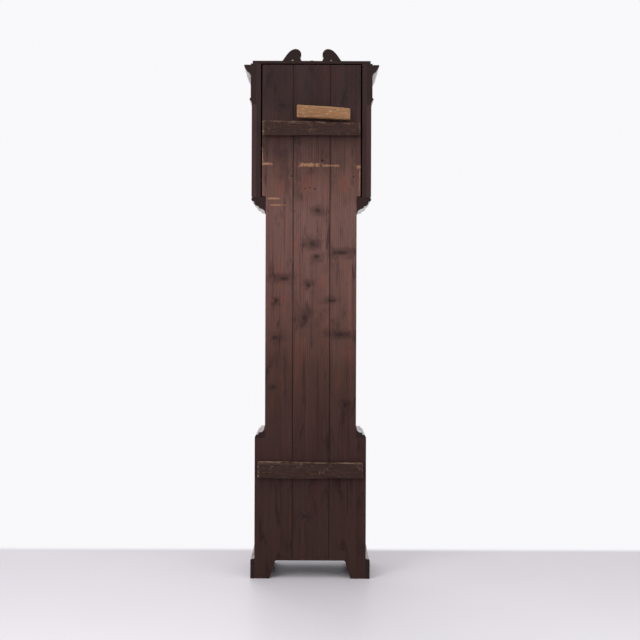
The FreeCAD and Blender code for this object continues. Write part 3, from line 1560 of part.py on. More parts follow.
def main():
    os.makedirs("parts", exist_ok=True)
    write("backboard_right", backboard(seam_right + seam_gap, trunk_half))
    write("backboard_centre", backboard(seam_left, seam_right))
    write("backboard_left", backboard(-trunk_half, seam_left - seam_gap))
    write("backboard_ears", backboard_ears())
    write("upper_batten", batten(upper_batten_z, upper_batten_half, upper_batten_width, upper_batten_rise))
    write("lower_batten", batten(lower_batten_z, lower_batten_half, lower_batten_width, lower_batten_rise))
    write("wall_block", wall_block())
    write("trunk_sides", trunk_sides())
    write("trunk_front_frame", trunk_front_frame())
    write("throat_moulding", throat_moulding())
    write("base_sides", base_sides())
    write("base_front", base_front())
    write("base_moulding", base_moulding())
    write("bracket_feet", bracket_feet())
    write("seatboard", seatboard())
    write("trunk_hinges", trunk_hinges())
    write("movement_frame", movement_frame() + [back_cock()])
    write("dial_plate", dial_plate())
    write("bell", bell())
    write("hood_sides", hood_sides())
    write("hood_sill", hood_sill())
    write("hood_frieze", hood_frieze())
    write("hood_cornice", hood_cornice())
    write("hood_top_board", hood_top_board())
    write("swan_necks", both_sides(swan_neck()))
    write("pediment_rosettes", pediment_rosettes())
    write("finial_plinth", finial_plinth())
    write("hood_columns", hood_columns())
    write("dial_mask", dial_mask())
    write("hood_door_frame", hood_door_frame())
    write("hood_door_glass", hood_door_glass())
    write("hood_door_fittings", hood_door_fittings())
    write("trunk_door", trunk_door())
    write("door_hinge_leaves", door_hinge_leaves())
    write("door_lock", door_lock())
    write("lock_bolt", lock_bolt())
    write("door_key", door_key())
    write("pallet_anchor", pallet_anchor())
    write("pendulum_rod", pendulum_rod())
    write("pendulum_bob", pendulum_bob())
    write("going_great_wheel", going_great_wheel())
    write("going_barrel", going_barrel())
    write("centre_wheel", centre_wheel())
    write("minute_hand", cannon_wheel() + [minute_hand()])
    write("third_wheel", third_wheel())
    write("escape_wheel", escape_wheel() + [seconds_hand()])
    write("minute_wheel", minute_wheel())
    write("hour_hand", hour_wheel() + [hour_hand()])
    write("strike_great_wheel", strike_great_wheel())
    write("strike_barrel", strike_barrel())
    write("pin_wheel", pin_wheel())
    write("gathering_wheel", gathering_wheel())
    write("warning_wheel", warning_wheel())
    write("strike_fly", strike_fly())
    write("strike_hammer", strike_hammer())
    for name, side in (("going", 1), ("strike", -1)):
        write(f"{name}_weight", weight(side))
        write(f"{name}_pulley", pulley(side))
    write("gut_lines", [gut_line(1), gut_line(-1)])


main()
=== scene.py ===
import math

import bmesh
import bpy
import numpy as np
from mathutils import Matrix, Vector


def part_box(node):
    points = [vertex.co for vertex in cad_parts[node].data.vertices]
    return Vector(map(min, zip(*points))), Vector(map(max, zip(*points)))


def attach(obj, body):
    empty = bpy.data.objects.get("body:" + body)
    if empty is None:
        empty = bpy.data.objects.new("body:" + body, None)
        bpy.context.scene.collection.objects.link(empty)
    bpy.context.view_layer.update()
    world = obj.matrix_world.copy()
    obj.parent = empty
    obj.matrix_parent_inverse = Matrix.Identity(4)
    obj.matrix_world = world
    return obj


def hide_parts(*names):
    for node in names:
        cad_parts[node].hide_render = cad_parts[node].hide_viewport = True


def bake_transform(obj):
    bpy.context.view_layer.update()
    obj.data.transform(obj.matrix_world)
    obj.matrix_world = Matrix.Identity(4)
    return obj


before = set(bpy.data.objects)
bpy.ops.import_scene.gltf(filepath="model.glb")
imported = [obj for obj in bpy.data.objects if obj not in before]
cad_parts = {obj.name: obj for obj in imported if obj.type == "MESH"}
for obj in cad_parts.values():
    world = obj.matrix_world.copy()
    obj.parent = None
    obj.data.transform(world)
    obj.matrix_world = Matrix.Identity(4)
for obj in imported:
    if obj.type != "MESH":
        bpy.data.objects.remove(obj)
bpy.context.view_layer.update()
print("frame loaded")

# The photograph shows the clock from behind: the backboards face +Y, and +X is on the picture's left
caseValues = {"backY": 0.12275}     # plane of the backboards, metres


def linear(red, green, blue):
    # Colours are written as the picture shows them, 0 to 255, and turned into light values here
    values = np.array([red, green, blue], float) / 255
    values = np.where(values <= 0.04045, values / 12.92, ((values + 0.055) / 1.055) ** 2.4)
    return (*values.tolist(), 1.0)


def addObject(name, data):
    made = bpy.data.objects.new(name, data)
    bpy.context.collection.objects.link(made)
    return made


# Camera

cameraValues = {
    "pixels": 640,            # width of the picture
    "metresPerPixel": 0.004021,
    "sensor": 36.0,
    "distance": 3.9,          # metres from the backboards
    "side": -0.013,
    "height": 1.10,
    "roll": 0.2,              # degrees
    "sideShift": -5.9,        # pixels
    "upShift": -14.9,
}


def makeCamera(v):
    data = bpy.data.cameras.new("photoCamera")
    data.sensor_width = v["sensor"]
    data.lens = v["sensor"] * v["distance"] / (v["pixels"] * v["metresPerPixel"])
    data.shift_x = -v["sideShift"] / v["pixels"]
    data.shift_y = v["upShift"] / v["pixels"]
    camera = addObject("photoCamera", data)
    place = Matrix.Translation((v["side"], caseValues["backY"] + v["distance"], v["height"]))
    turn = Matrix.Rotation(math.pi, 4, "Z") @ Matrix.Rotation(math.pi / 2, 4, "X")
    camera.matrix_world = place @ turn @ Matrix.Rotation(math.radians(v["roll"]), 4, "Z")
    bpy.context.scene.camera = camera


makeCamera(cameraValues)
print("camera set")


# Node helpers

class Shade:
    # Adds nodes to one tree and joins them: a value is a socket, a number or a colour

    def __init__(self, tree):
        self.tree = tree

    def join(self, value, socket):
        if isinstance(value, bpy.types.NodeSocket):
            self.tree.links.new(value, socket)
        else:
            socket.default_value = value

    def put(self, kind, inputs, **settings):
        node = self.tree.nodes.new(kind)
        for name, value in settings.items():
            setattr(node, name, value)
        for key, value in inputs.items():
            self.join(value, node.inputs[key])
        return node

    def math(self, operation, a, b=0.0):
        return self.put("ShaderNodeMath", {0: a, 1: b}, operation=operation).outputs[0]

    def plus(self, a, b):
        return self.math("ADD", a, b)

    def minus(self, a, b):
        return self.math("SUBTRACT", a, b)

    def times(self, a, b):
        return self.math("MULTIPLY", a, b)

    def mix(self, factor, a, b, blend="MIX"):
        node = self.put("ShaderNodeMix", {}, data_type="RGBA", blend_type=blend)
        self.join(factor, node.inputs[0])
        self.join(a, node.inputs[6])
        self.join(b, node.inputs[7])
        return node.outputs[2]

    def tint(self, colour, shares):
        return self.mix(1.0, colour, (*shares, 1.0), "MULTIPLY")

    def span(self, value, low, high, toLow=0.0, toHigh=1.0):
        return self.put("ShaderNodeMapRange", {0: value, 1: low, 2: high, 3: toLow, 4: toHigh},
                        interpolation_type="SMOOTHSTEP").outputs[0]

    def noise(self, place, scale, detail=3.0, rough=0.55, twist=0.0):
        return self.put("ShaderNodeTexNoise", {"Vector": place, "Scale": scale, "Detail": detail,
                                               "Roughness": rough, "Distortion": twist}).outputs["Fac"]

    def stretch(self, place, scale, shift=(0, 0, 0), turn=(0, 0, 0)):
        return self.put("ShaderNodeMapping", {"Vector": place, "Location": shift, "Rotation": turn,
                                              "Scale": scale}).outputs[0]

    def cells(self, place, x, y, z, detail=3.0, rough=0.55, twist=0.0):
        # Noise drawn out along an axis: x, y and z are cells a metre
        return self.noise(self.stretch(place, (x, y, z)), 1.0, detail, rough, twist)

    def push(self, place, x, y=0.0):
        # A place moved by values that change over the surface
        step = self.put("ShaderNodeCombineXYZ", {0: x, 1: y}).outputs[0]
        return self.put("ShaderNodeVectorMath", {0: place, 1: step}, operation="ADD").outputs[0]

    def parts(self, place):
        return self.put("ShaderNodeSeparateXYZ", {0: place}).outputs

    def ramp(self, value, stops):
        node = self.put("ShaderNodeValToRGB", {0: value})
        band = node.color_ramp
        while len(band.elements) < len(stops):
            band.elements.new(0.5)
        for element, (at, colour) in zip(band.elements, stops):
            element.position = at
            element.color = colour
        return node.outputs[0]

    def bump(self, height, strength, distance):
        inputs = {"Height": height, "Strength": strength, "Distance": distance}
        return self.put("ShaderNodeBump", inputs).outputs[0]

    def group(self, tree, **inputs):
        node = self.put("ShaderNodeGroup", {}, node_tree=tree)
        for name, value in inputs.items():
            self.join(value, node.inputs[name])
        return node.outputs


def makeGroup(name, numbers, outputs, build):
    # Every group takes a place and some numbers, and puts out numbers
    tree = bpy.data.node_groups.new(name, "ShaderNodeTree")
    tree.interface.new_socket("Place", in_out="INPUT", socket_type="NodeSocketVector")
    for label, value in numbers.items():
        socket = tree.interface.new_socket(label, in_out="INPUT", socket_type="NodeSocketFloat")
        socket.default_value = value
    for label in outputs:
        tree.interface.new_socket(label, in_out="OUTPUT", socket_type="NodeSocketFloat")
    given = tree.nodes.new("NodeGroupInput").outputs
    taken = tree.nodes.new("NodeGroupOutput").inputs
    for label, socket in build(Shade(tree), given).items():
        tree.links.new(socket, taken[label])
    return tree


def emptyShade(owner):
    # The nodes of a material or a world, cleared
    owner.use_nodes = True
    owner.node_tree.nodes.clear()
    return Shade(owner.node_tree)


def makeMaterial(name, build):
    # build puts the nodes in and returns what the surface shader takes
    material = bpy.data.materials.new(name)
    s = emptyShade(material)
    place = s.put("ShaderNodeTexCoord", {}).outputs["Object"]
    shader = s.put("ShaderNodeBsdfPrincipled", build(s, place))
    s.put("ShaderNodeOutputMaterial", {"Surface": shader.outputs[0]})
    return material


# Shared surface effects

# Noise is written as cells a metre in X, Y and Z, then detail and roughness
grainValues = {
    "wander": (7, 7, 0.9, 2.0),
    "swell": (26, 26, 2.4, 2.0),
    "fibre": (900, 900, 16, 4.0, 0.7),
    "broad": (18, 18, 1.6),
    "lateWood": 2.4,          # power that draws the dark wood towards the end of a year
    "lineHeight": 0.5,
    "fibreHeight": 0.6,
}


def buildGrain(s, given):
    # Growth lines run along Z: distance across the board, bent by slow noise, cut into steps
    v = grainValues
    place = given["Place"]
    across = s.parts(place)[0]
    wander = s.cells(place, *v["wander"])
    swell = s.cells(place, *v["swell"])
    lines = s.plus(s.math("DIVIDE", across, given["Line Width"]), s.times(wander, given["Wander"]))
    late = s.math("POWER", s.math("FRACT", lines), v["lateWood"])
    soft = s.times(late, s.span(swell, 0.3, 0.65, 0.35, 1.0))
    fibre = s.cells(place, *v["fibre"])
    broad = s.cells(place, *v["broad"])
    height = s.plus(s.times(soft, v["lineHeight"]), s.times(fibre, v["fibreHeight"]))
    return {"Lines": soft, "Fibre": fibre, "Broad": broad, "Height": height}


grainGroup = makeGroup("boardGrain", {"Line Width": 0.004, "Wander": 5.0},
                       ["Lines", "Fibre", "Broad", "Height"], buildGrain)


wearValues = {
    "fine": (260, 260, 260, 3.0, 0.7),
    "fray": 0.25,
    "limit": 0.78,
    "reach": 0.3,             # how far the limit falls at full wear
    "edge": 0.09,
    "dust": (0.35, 0.75),
}


def buildWear(s, given):
    # Rubbed places: coarse noise past a limit, broken up by finer noise
    v = wearValues
    coarse = s.noise(given["Place"], given["Scale"], 4.0, 0.65)
    fine = s.cells(given["Place"], *v["fine"])
    edge = s.plus(coarse, s.times(s.minus(fine, 0.5), v["fray"]))
    limit = s.minus(v["limit"], s.times(given["Amount"], v["reach"]))
    worn = s.span(s.minus(edge, limit), 0.0, v["edge"])
    return {"Worn": worn, "Dust": s.span(coarse, *v["dust"])}


wearGroup = makeGroup("rubbedWear", {"Scale": 20.0, "Amount": 0.5}, ["Worn", "Dust"], buildWear)


# Marks on the backboards, placed by where they are on the real boards: x, z, half width and half height
# in metres, or x, z and radius for a hole, and x alone for a seam

markValues = {
    "knots": [(0.108, 1.207, 0.020, 0.008), (0.144, 0.968, 0.013, 0.008), (0.149, 0.770, 0.009, 0.007),
              (0.025, 1.050, 0.012, 0.013), (0.010, 1.180, 0.009, 0.010), (-0.006, 1.345, 0.014, 0.012),
              (-0.022, 1.296, 0.013, 0.009), (-0.026, 1.481, 0.012, 0.010), (-0.083, 1.118, 0.015, 0.006),
              (-0.118, 1.311, 0.028, 0.008), (-0.122, 0.982, 0.028, 0.008), (0.141, 1.118, 0.007, 0.006),
              (-0.141, 0.700, 0.010, 0.007), (0.118, 1.905, 0.016, 0.008), (0.020, 0.250, 0.012, 0.008)],
    "scuffs": [(0.181, 1.668, 0.032, 0.006), (0.008, 1.664, 0.055, 0.009), (-0.074, 1.661, 0.040, 0.006),
               (-0.205, 1.657, 0.034, 0.009), (-0.195, 1.600, 0.0022, 0.055), (0.152, 1.528, 0.036, 0.004),
               (0.144, 1.502, 0.042, 0.003), (0.196, 1.700, 0.0018, 0.028)],
    # Nail holes and cracks are painted with the shade inside them
    "holes": [(0.0249, 1.5687, 0.0035), (0.0065, 1.572, 0.003), (-0.0145, 1.567, 0.0035),
              (-0.0446, 1.681, 0.005), (-0.1706, 1.6164, 0.003), (0.0783, 1.6185, 0.0035)],
    "cracks": [(0.038, 1.536, 0.0011, 0.022), (0.1245, 1.02, 0.0009, 0.17), (-0.150, 0.36, 0.0009, 0.12)],
    # Seams are painted with the shade in the gaps between the boards
    "seams": [0.0722, -0.0758],
    "shake": (60, 60, 25, 4.0, 0.7),
    "drift": (14, 14, 34, 4.0, 0.6),
    "knotShake": 1.3,         # in knot sizes
    "smokeDrift": 7.0,
    "scuffShake": 2.8,        # in scuff sizes
    "crackShake": 0.006,
    "seamEdge": (0.0004, 0.0036),
}


def farFrom(s, x, z, centreX, centreZ, halfX, halfZ):
    # Distance from a spot, in spot sizes
    dx = s.math("DIVIDE", s.minus(x, centreX), halfX)
    dz = s.math("DIVIDE", s.minus(z, centreZ), halfZ)
    return s.math("SQRT", s.plus(s.times(dx, dx), s.times(dz, dz)))


def faceWays(s, place):
    # The two ways across a face that looks along Y
    ways = s.parts(place)
    return ways[0], ways[2]


def gather(s, sockets, operation="MAXIMUM"):
    # The most, or the least, of many values
    total = sockets[0]
    for socket in sockets[1:]:
        total = s.math(operation, total, socket)
    return total


def buildMarks(s, given):
    # Knots have a soft core and a smoky shade that trails across the board
    v = markValues
    place = given["Place"]
    x, z = faceWays(s, place)
    shake = s.minus(s.cells(place, *v["shake"]), 0.5)
    drift = s.minus(s.cells(place, *v["drift"]), 0.5)
    near = gather(s, [farFrom(s, x, z, *knot) for knot in v["knots"]], "MINIMUM")
    core = s.plus(near, s.times(shake, v["knotShake"]))
    trail = s.plus(near, s.times(drift, v["smokeDrift"]))
    rubbed = []
    for centreX, centreZ, halfX, halfZ in v["scuffs"]:
        dx = s.math("ABSOLUTE", s.math("DIVIDE", s.minus(x, centreX), halfX))
        dz = s.math("ABSOLUTE", s.math("DIVIDE", s.minus(z, centreZ), halfZ))
        far = s.plus(s.math("MAXIMUM", dx, dz), s.times(shake, v["scuffShake"]))
        rubbed.append(s.span(far, 0.2, 1.1, 1.0, 0.0))
    # Painted shade inside the nail holes and cracks
    holes = [s.span(farFrom(s, x, z, holeX, holeZ, radius, radius), 0.5, 1.1, 1.0, 0.0)
             for holeX, holeZ, radius in v["holes"]]
    bent = s.plus(x, s.times(shake, v["crackShake"]))
    split = [s.span(farFrom(s, bent, z, *crack), 0.6, 1.0, 1.0, 0.0) for crack in v["cracks"]]
    # Painted shade along the gaps between the boards
    seams = [s.span(s.math("ABSOLUTE", s.minus(x, seam)), *v["seamEdge"], 1.0, 0.0) for seam in v["seams"]]
    return {"Knot": s.span(core, 0.1, 1.5, 1.0, 0.0), "Halo": s.span(near, 0.8, 3.2, 1.0, 0.0),
            "Smoke": s.span(trail, 0.5, 4.2, 1.0, 0.0), "Scuff": gather(s, rubbed),
            "Hole": gather(s, holes + split), "Seam": gather(s, seams)}


markGroup = makeGroup("boardMarks", {}, ["Knot", "Halo", "Smoke", "Scuff", "Hole", "Seam"], buildMarks)
print("shared effects built")


# Old boards: stained pine, darker towards the top and the floor

boardValues = {
    "tones": [(0.0, (54, 35, 31)), (0.24, (56, 36, 33)), (0.34, (63, 41, 36)), (0.40, (71, 48, 42)),
              (0.50, (91, 63, 56)), (0.62, (101, 73, 67)), (0.70, (103, 75, 69)), (0.77, (95, 67, 60)),
              (0.83, (70, 49, 45)), (0.92, (48, 32, 31))],
    "height": 2.08,
    "line": (0.36, 0.33, 0.34),       # shares of the board's own tone
    "pale": (1.50, 1.46, 1.40),
    "red": (1.22, 0.98, 0.88),
    "blot": (0.50, 0.46, 0.48),
    "stain": (34, 22, 22),
    "knot": (30, 18, 17),
    "scuff": (168, 124, 92),
    # Painted shade: seam is the gaps between the boards, holeShade the inside of the nail holes and cracks
    "seam": (20, 13, 13),
    "holeShade": (10, 7, 7),
    "marks": [("Smoke", "stain", 0.45), ("Knot", "knot", 0.7), ("Scuff", "scuff", 0.66),
              ("Seam", "seam", 0.72), ("Hole", "holeShade", 1.0)],      # each mark's colour and strength
    "wander": 9.0,                    # lines by which the grain strays
    "knotBend": 2.2,                  # lines by which it runs round a knot
    "cloud": (8, 8, 5, 4.0, 0.6),
    "streak": (75, 75, 2.2, 3.0, 0.6),
    "patch": (24, 24, 6, 4.0, 0.62, 0.4),
    "toneDrift": 0.12,                # of the height
    "lineShare": 0.74,
    "sawMarks": 1900.0,               # radians a metre
    "holeDepth": 3.0,                 # in reliefs
    "seamDepth": 1.5,
    "relief": 0.0009,
    "specular": 0.16,
}


def oldBoard(name, shift, tint, lineWidth=0.0062, marks=True):
    # shift is where in the tree the board was cut, so that no two show the same grain
    v = boardValues

    def build(s, place):
        moved = s.stretch(place, (1, 1, 1), shift)
        if marks:
            mark = s.group(markGroup, Place=place)
            moved = s.push(moved, s.times(mark["Halo"], lineWidth * v["knotBend"]))
        grain = s.group(grainGroup, Place=moved, **{"Line Width": lineWidth, "Wander": v["wander"]})
        wear = s.group(wearGroup, Place=s.stretch(place, (1, 1, 0.45), shift), Scale=9.0, Amount=0.4)
        cloud = s.cells(moved, *v["cloud"])
        streak = s.cells(moved, *v["streak"])
        height = s.math("DIVIDE", s.parts(place)[2], v["height"])
        drift = s.times(s.minus(cloud, 0.5), v["toneDrift"])
        tone = s.ramp(s.plus(height, drift), [(at, linear(*c)) for at, c in v["tones"]])
        base = s.tint(tone, tint)
        pale = s.tint(base, v["pale"])
        dark = s.tint(base, v["line"])
        colour = s.mix(s.span(streak, 0.52, 0.78, 0.0, 0.8), base, pale)
        colour = s.mix(s.times(grain["Lines"], v["lineShare"]), colour, dark)
        colour = s.mix(s.span(streak, 0.48, 0.24, 0.0, 0.7), colour, dark)
        colour = s.mix(s.span(grain["Fibre"], 0.35, 0.75, 0.0, 0.4), colour, pale)
        red = s.tint(colour, v["red"])
        blot = s.tint(colour, v["blot"])
        patch = s.cells(moved, *v["patch"])
        colour = s.mix(s.span(patch, 0.46, 0.32), colour, red)
        colour = s.mix(s.span(patch, 0.54, 0.72), colour, blot)
        colour = s.mix(s.span(cloud, 0.50, 0.80, 0.0, 0.6), colour, linear(*v["stain"]))
        saw = s.math("SINE", s.times(s.parts(place)[2], v["sawMarks"]))
        sawn = s.times(saw, s.span(wear["Dust"], 0.45, 0.8, 0.0, 0.25))
        lift = s.plus(grain["Height"], sawn)
        if marks:
            # The seam and hole marks paint shade into the gaps, holes and cracks; the others are the boards'
            # own marks
            for label, paint, strength in v["marks"]:
                colour = s.mix(s.times(mark[label], strength), colour, linear(*v[paint]))
            lift = s.minus(lift, s.times(mark["Hole"], v["holeDepth"]))
            lift = s.minus(lift, s.times(mark["Seam"], v["seamDepth"]))
        rough = s.span(grain["Broad"], 0.3, 0.7, 0.66, 0.84)
        return {"Base Color": colour, "Roughness": rough, "Normal": s.bump(lift, 0.7, v["relief"]),
                "Specular IOR Level": v["specular"]}

    return makeMaterial(name, build)


boardLeft = oldBoard("pineBoardLeft", (3.1, 0, 0.4), (0.97, 0.94, 0.94))
boardCentre = oldBoard("pineBoardCentre", (7.3, 0, 2.2), (1.0, 0.98, 0.98), 0.0074)
boardRight = oldBoard("pineBoardRight", (11.7, 0, 5.9), (1.03, 1.02, 1.0), 0.0056)
boardPlain = oldBoard("pineInner", (1.7, 0, 8.3), (1.15, 1.1, 1.0), 0.005, marks=False)
print("board materials built")


# Battens and block: the same pine laid flat, with a painted highlight along the top edge and the lit end,
# and a raw pale offcut

lyingTurn = (0, math.pi / 2, 0)
battenValues = {
    "base": (53, 34, 30),
    "line": (30, 18, 16),
    # The edge colour serves the pale fibres, flecks and wear, and also the painted highlight on the lit
    # edges
    "edge": (156, 124, 106),
    "pale": 0.5,              # strength of the pale fibres and flecks
    # Strength of the painted highlight on the top edge and the lit end
    "litEdgeShare": 0.75,
    "shift": (0.3, 0, 1.7),   # where in the tree the board was cut
}
blockValues = {
    "base": (136, 95, 64),
    "line": (76, 48, 31),
    "edge": (206, 168, 128),
    "pale": 2.2,
    # Strength of the painted highlight on the top edge and the lit end
    "litEdgeShare": 0.5,
    "shift": (2.9, 0, 4.1),
}
offcutValues = {
    "lineWidth": 0.0045,
    "wander": 5.0,
    "streak": (160, 160, 6, 4.0, 0.7),
    "fleck": (230, 230, 50, 4.0, 0.7),
    # Noise that breaks up the painted highlight on the lit edges
    "litEdge": (45, 45, 160),
    "relief": 0.001,
    "specular": 0.14,
}


def sawnBoard(name, v, cut):
    def build(s, place):
        moved = s.stretch(place, (1, 1, 1), v["shift"], lyingTurn)
        grain = s.group(grainGroup, Place=moved, **{"Line Width": cut["lineWidth"], "Wander": cut["wander"]})
        wear = s.group(wearGroup, Place=place, Scale=30.0, Amount=0.55)
        # Painted highlight: the top edge and the picture-left end are painted lighter where the light falls
        litRim = s.put("ShaderNodeAttribute", {}, attribute_name="edge").outputs["Fac"]
        base = s.mix(s.times(grain["Lines"], 0.6), linear(*v["base"]), linear(*v["line"]))
        streak = s.cells(moved, *cut["streak"])
        base = s.mix(s.span(streak, 0.5, 0.75, 0.0, 0.7), base, linear(*v["line"]))
        base = s.mix(s.span(grain["Broad"], 0.3, 0.75, 0.0, 0.4), base, linear(*v["line"]))
        base = s.mix(s.span(grain["Fibre"], 0.4, 0.8, 0.0, 0.22 * v["pale"]), base, linear(*v["edge"]))
        fleck = s.cells(moved, *cut["fleck"])
        base = s.mix(s.span(fleck, 0.52, 0.72, 0.0, 0.24 * v["pale"]), base, linear(*v["edge"]))
        # The painted highlight, broken up by noise
        litEdge = s.times(litRim, s.span(s.cells(place, *cut["litEdge"]), 0.35, 0.6))
        base = s.mix(s.times(litEdge, v["litEdgeShare"]), base, linear(*v["edge"]))
        base = s.mix(s.times(wear["Worn"], 0.25), base, linear(*v["edge"]))
        return {"Base Color": base, "Roughness": s.span(grain["Fibre"], 0.2, 0.8, 0.7, 0.9),
                "Normal": s.bump(grain["Height"], 0.8, cut["relief"]), "Specular IOR Level": cut["specular"]}

    return makeMaterial(name, build)


battenWood = sawnBoard("battenPine", battenValues, offcutValues)
blockWood = sawnBoard("blockPine", blockValues, offcutValues)


# Case wood: dark, figured and polished, with a worn finish

polishValues = {
    "deep": (44, 25, 20),
    "warm": (96, 56, 38),
    "line": (30, 18, 16),
    "rubbed": (132, 88, 62),
    "back": (52, 36, 34),     # unpolished faces that look backwards
    "backMoulding": (42, 29, 27),
    "backHood": (49, 34, 32),
    "backPost": (62, 44, 41),
    "moulding": (0.62, 0.62, 0.64),
    "lineWidth": 0.011,
    "wander": 4.0,
    "swirl": (3.5, 3.5, 1.3, 2.0),
    "figure": (0.10, 0.05),   # metres by which the swirl moves the grain
    "pore": (1500, 1500, 45, 2.0),
    "gloss": (0.26, 0.48),    # roughness where the finish is clean and where it is dull
    "poreRough": 0.15,
    "coatRough": 0.22,
    "specular": 0.45,
    "backRough": 0.78,
    "backSpecular": 0.14,
    "backFrom": (0.90, 0.97),         # how far a face has to look backwards
    "relief": 0.0005,
}


def caseWood(name, shift, turn=(0, 0, 0), shade=(1.0, 1.0, 1.0), coat=0.45, back=polishValues["back"]):
    v = polishValues

    def build(s, place):
        moved = s.stretch(place, (1, 1, 1), shift, turn)
        swirl = s.cells(moved, *v["swirl"])
        figured = s.push(moved, s.times(swirl, v["figure"][0]), s.times(swirl, v["figure"][1]))
        grain = s.group(grainGroup, Place=figured, **{"Line Width": v["lineWidth"], "Wander": v["wander"]})
        wear = s.group(wearGroup, Place=place, Scale=14.0, Amount=0.25)
        pore = s.span(s.cells(moved, *v["pore"]), 0.60, 0.72)
        colour = s.mix(s.span(grain["Broad"], 0.25, 0.75), linear(*v["warm"]), linear(*v["deep"]))
        colour = s.mix(s.times(grain["Lines"], 0.5), colour, linear(*v["line"]))
        colour = s.mix(s.times(pore, 0.5), colour, linear(*v["line"]))
        colour = s.mix(s.times(wear["Worn"], 0.25), colour, linear(*v["rubbed"]))
        colour = s.tint(colour, shade)
        raw = s.mix(s.times(grain["Lines"], 0.5), linear(*back), linear(*v["line"]))
        facing = s.parts(s.put("ShaderNodeTexCoord", {}).outputs["Normal"])[1]
        behind = s.span(facing, *v["backFrom"])
        colour = s.mix(behind, colour, raw)
        lift = s.minus(s.times(grain["Height"], 0.3), s.times(pore, 0.5))
        rough = s.plus(s.span(wear["Dust"], 0.2, 0.9, *v["gloss"]), s.times(pore, v["poreRough"]))
        rough = s.math("MAXIMUM", rough, s.times(behind, v["backRough"]))
        return {"Base Color": colour, "Roughness": rough, "Normal": s.bump(lift, 0.35, v["relief"]),
                "Specular IOR Level": s.span(behind, 0.0, 1.0, v["specular"], v["backSpecular"]),
                "Coat Weight": s.span(behind, 0.0, 1.0, coat, 0.0), "Coat Roughness": v["coatRough"]}

    return makeMaterial(name, build)


upright = caseWood("caseUpright", (0.7, 0, 3.3))
doorWood = caseWood("doorFigured", (5.2, 0, 1.1), shade=(1.12, 1.08, 1.02))
panelWood = caseWood("basePanel", (8.8, 0, 6.4), shade=(1.08, 1.05, 1.0))
lying = caseWood("mouldingLying", (2.1, 0, 7.7), lyingTurn, polishValues["moulding"], 0.6,
                 polishValues["backMoulding"])
darkUpright = caseWood("neckUpright", (4.4, 0, 0.6), shade=polishValues["moulding"], coat=0.55,
                       back=polishValues["backMoulding"])
postWood = caseWood("columnUpright", (9.4, 0, 2.6), shade=polishValues["moulding"], coat=0.55,
                    back=polishValues["backPost"])
hoodWood = caseWood("hoodUpright", (6.6, 0, 9.1), shade=(0.86, 0.86, 0.88), back=polishValues["backHood"])


# Metals

brassValues = {"clean": (196, 158, 84), "dull": (120, 88, 42), "dark": (66, 48, 28)}
metalValues = {
    "agedBrass": {**brassValues, "rough": (0.28, 0.5)},
    "turnedBrass": {**brassValues, "rough": (0.25, 0.45)},
    "trainSteel": {"clean": (156, 156, 158), "dull": (120, 119, 120), "dark": (70, 64, 60),
                   "rough": (0.25, 0.5)},
    "lockSteel": {"clean": (112, 106, 100), "dull": (84, 74, 66), "dark": (58, 42, 34),
                  "rough": (0.35, 0.65)},
    "nailIron": {"clean": (70, 60, 54), "dull": (52, 42, 37), "dark": (40, 28, 24), "rough": (0.55, 0.8)},
    "bluedHands": {"clean": (34, 38, 58), "dull": (22, 25, 40), "dark": (14, 14, 20), "rough": (0.22, 0.4)},
}
metalGrain = (300, 300, 300, 4.0, 0.65)
latheRings = 1500.0           # noise cells a metre of radius
metalRelief = 0.0002


def agedMetal(name, v, turned=None):
    # Turned metal has lathe rings round an axis along Y through the point given
    def build(s, place):
        wear = s.group(wearGroup, Place=place, Scale=45.0, Amount=0.45)
        fine = s.cells(place, *metalGrain)
        lift = fine
        if turned is not None:
            radius = farFrom(s, *faceWays(s, place), *turned, 1.0, 1.0)
            along = s.put("ShaderNodeCombineXYZ", {0: s.times(radius, latheRings)}).outputs[0]
            lift = s.plus(s.times(fine, 0.4), s.noise(along, 1.0, 2.0))
        colour = s.mix(s.span(wear["Dust"], 0.25, 0.85), linear(*v["clean"]), linear(*v["dull"]))
        colour = s.mix(s.times(s.span(fine, 0.45, 0.75), 0.45), colour, linear(*v["dark"]))
        colour = s.mix(s.times(wear["Worn"], 0.35), colour, linear(*v["dark"]))
        rough = s.span(s.plus(fine, s.times(wear["Worn"], 0.3)), 0.3, 0.9, *v["rough"])
        return {"Base Color": colour, "Metallic": 1.0, "Roughness": rough,
                "Normal": s.bump(lift, 0.35, metalRelief)}

    return makeMaterial(name, build)


brass = agedMetal("agedBrass", metalValues["agedBrass"])
steel = agedMetal("trainSteel", metalValues["trainSteel"])
lockSteel = agedMetal("lockSteel", metalValues["lockSteel"])
nailIron = agedMetal("nailIron", metalValues["nailIron"])
blued = agedMetal("bluedHands", metalValues["bluedHands"])

ironValues = {"base": (62, 58, 57), "rust": (84, 62, 50), "rubbed": (104, 92, 84), "metallic": 0.75}


def castIron(s, place):
    lump = s.noise(place, 160.0, 5.0, 0.6)
    wear = s.group(wearGroup, Place=place, Scale=35.0, Amount=0.6)
    colour = s.mix(s.span(lump, 0.35, 0.7), linear(*ironValues["base"]), linear(*ironValues["rust"]))
    colour = s.mix(s.times(wear["Worn"], 0.4), colour, linear(*ironValues["rubbed"]))
    return {"Base Color": colour, "Metallic": ironValues["metallic"],
            "Roughness": s.span(lump, 0.3, 0.8, 0.5, 0.75), "Normal": s.bump(lump, 0.5, 0.0009)}


weightIron = makeMaterial("weightIron", castIron)


# Painted dial, printed lines, glass and gut

dialValues = {
    "paint": (232, 225, 204),
    "age": (202, 188, 154),
    "crack": (120, 100, 74),
    "worn": (164, 146, 112),
    "ink": (26, 24, 26),
    "inkFaded": (84, 76, 66),
    "gilt": (206, 164, 82),
    "giltDull": (142, 100, 42),
}


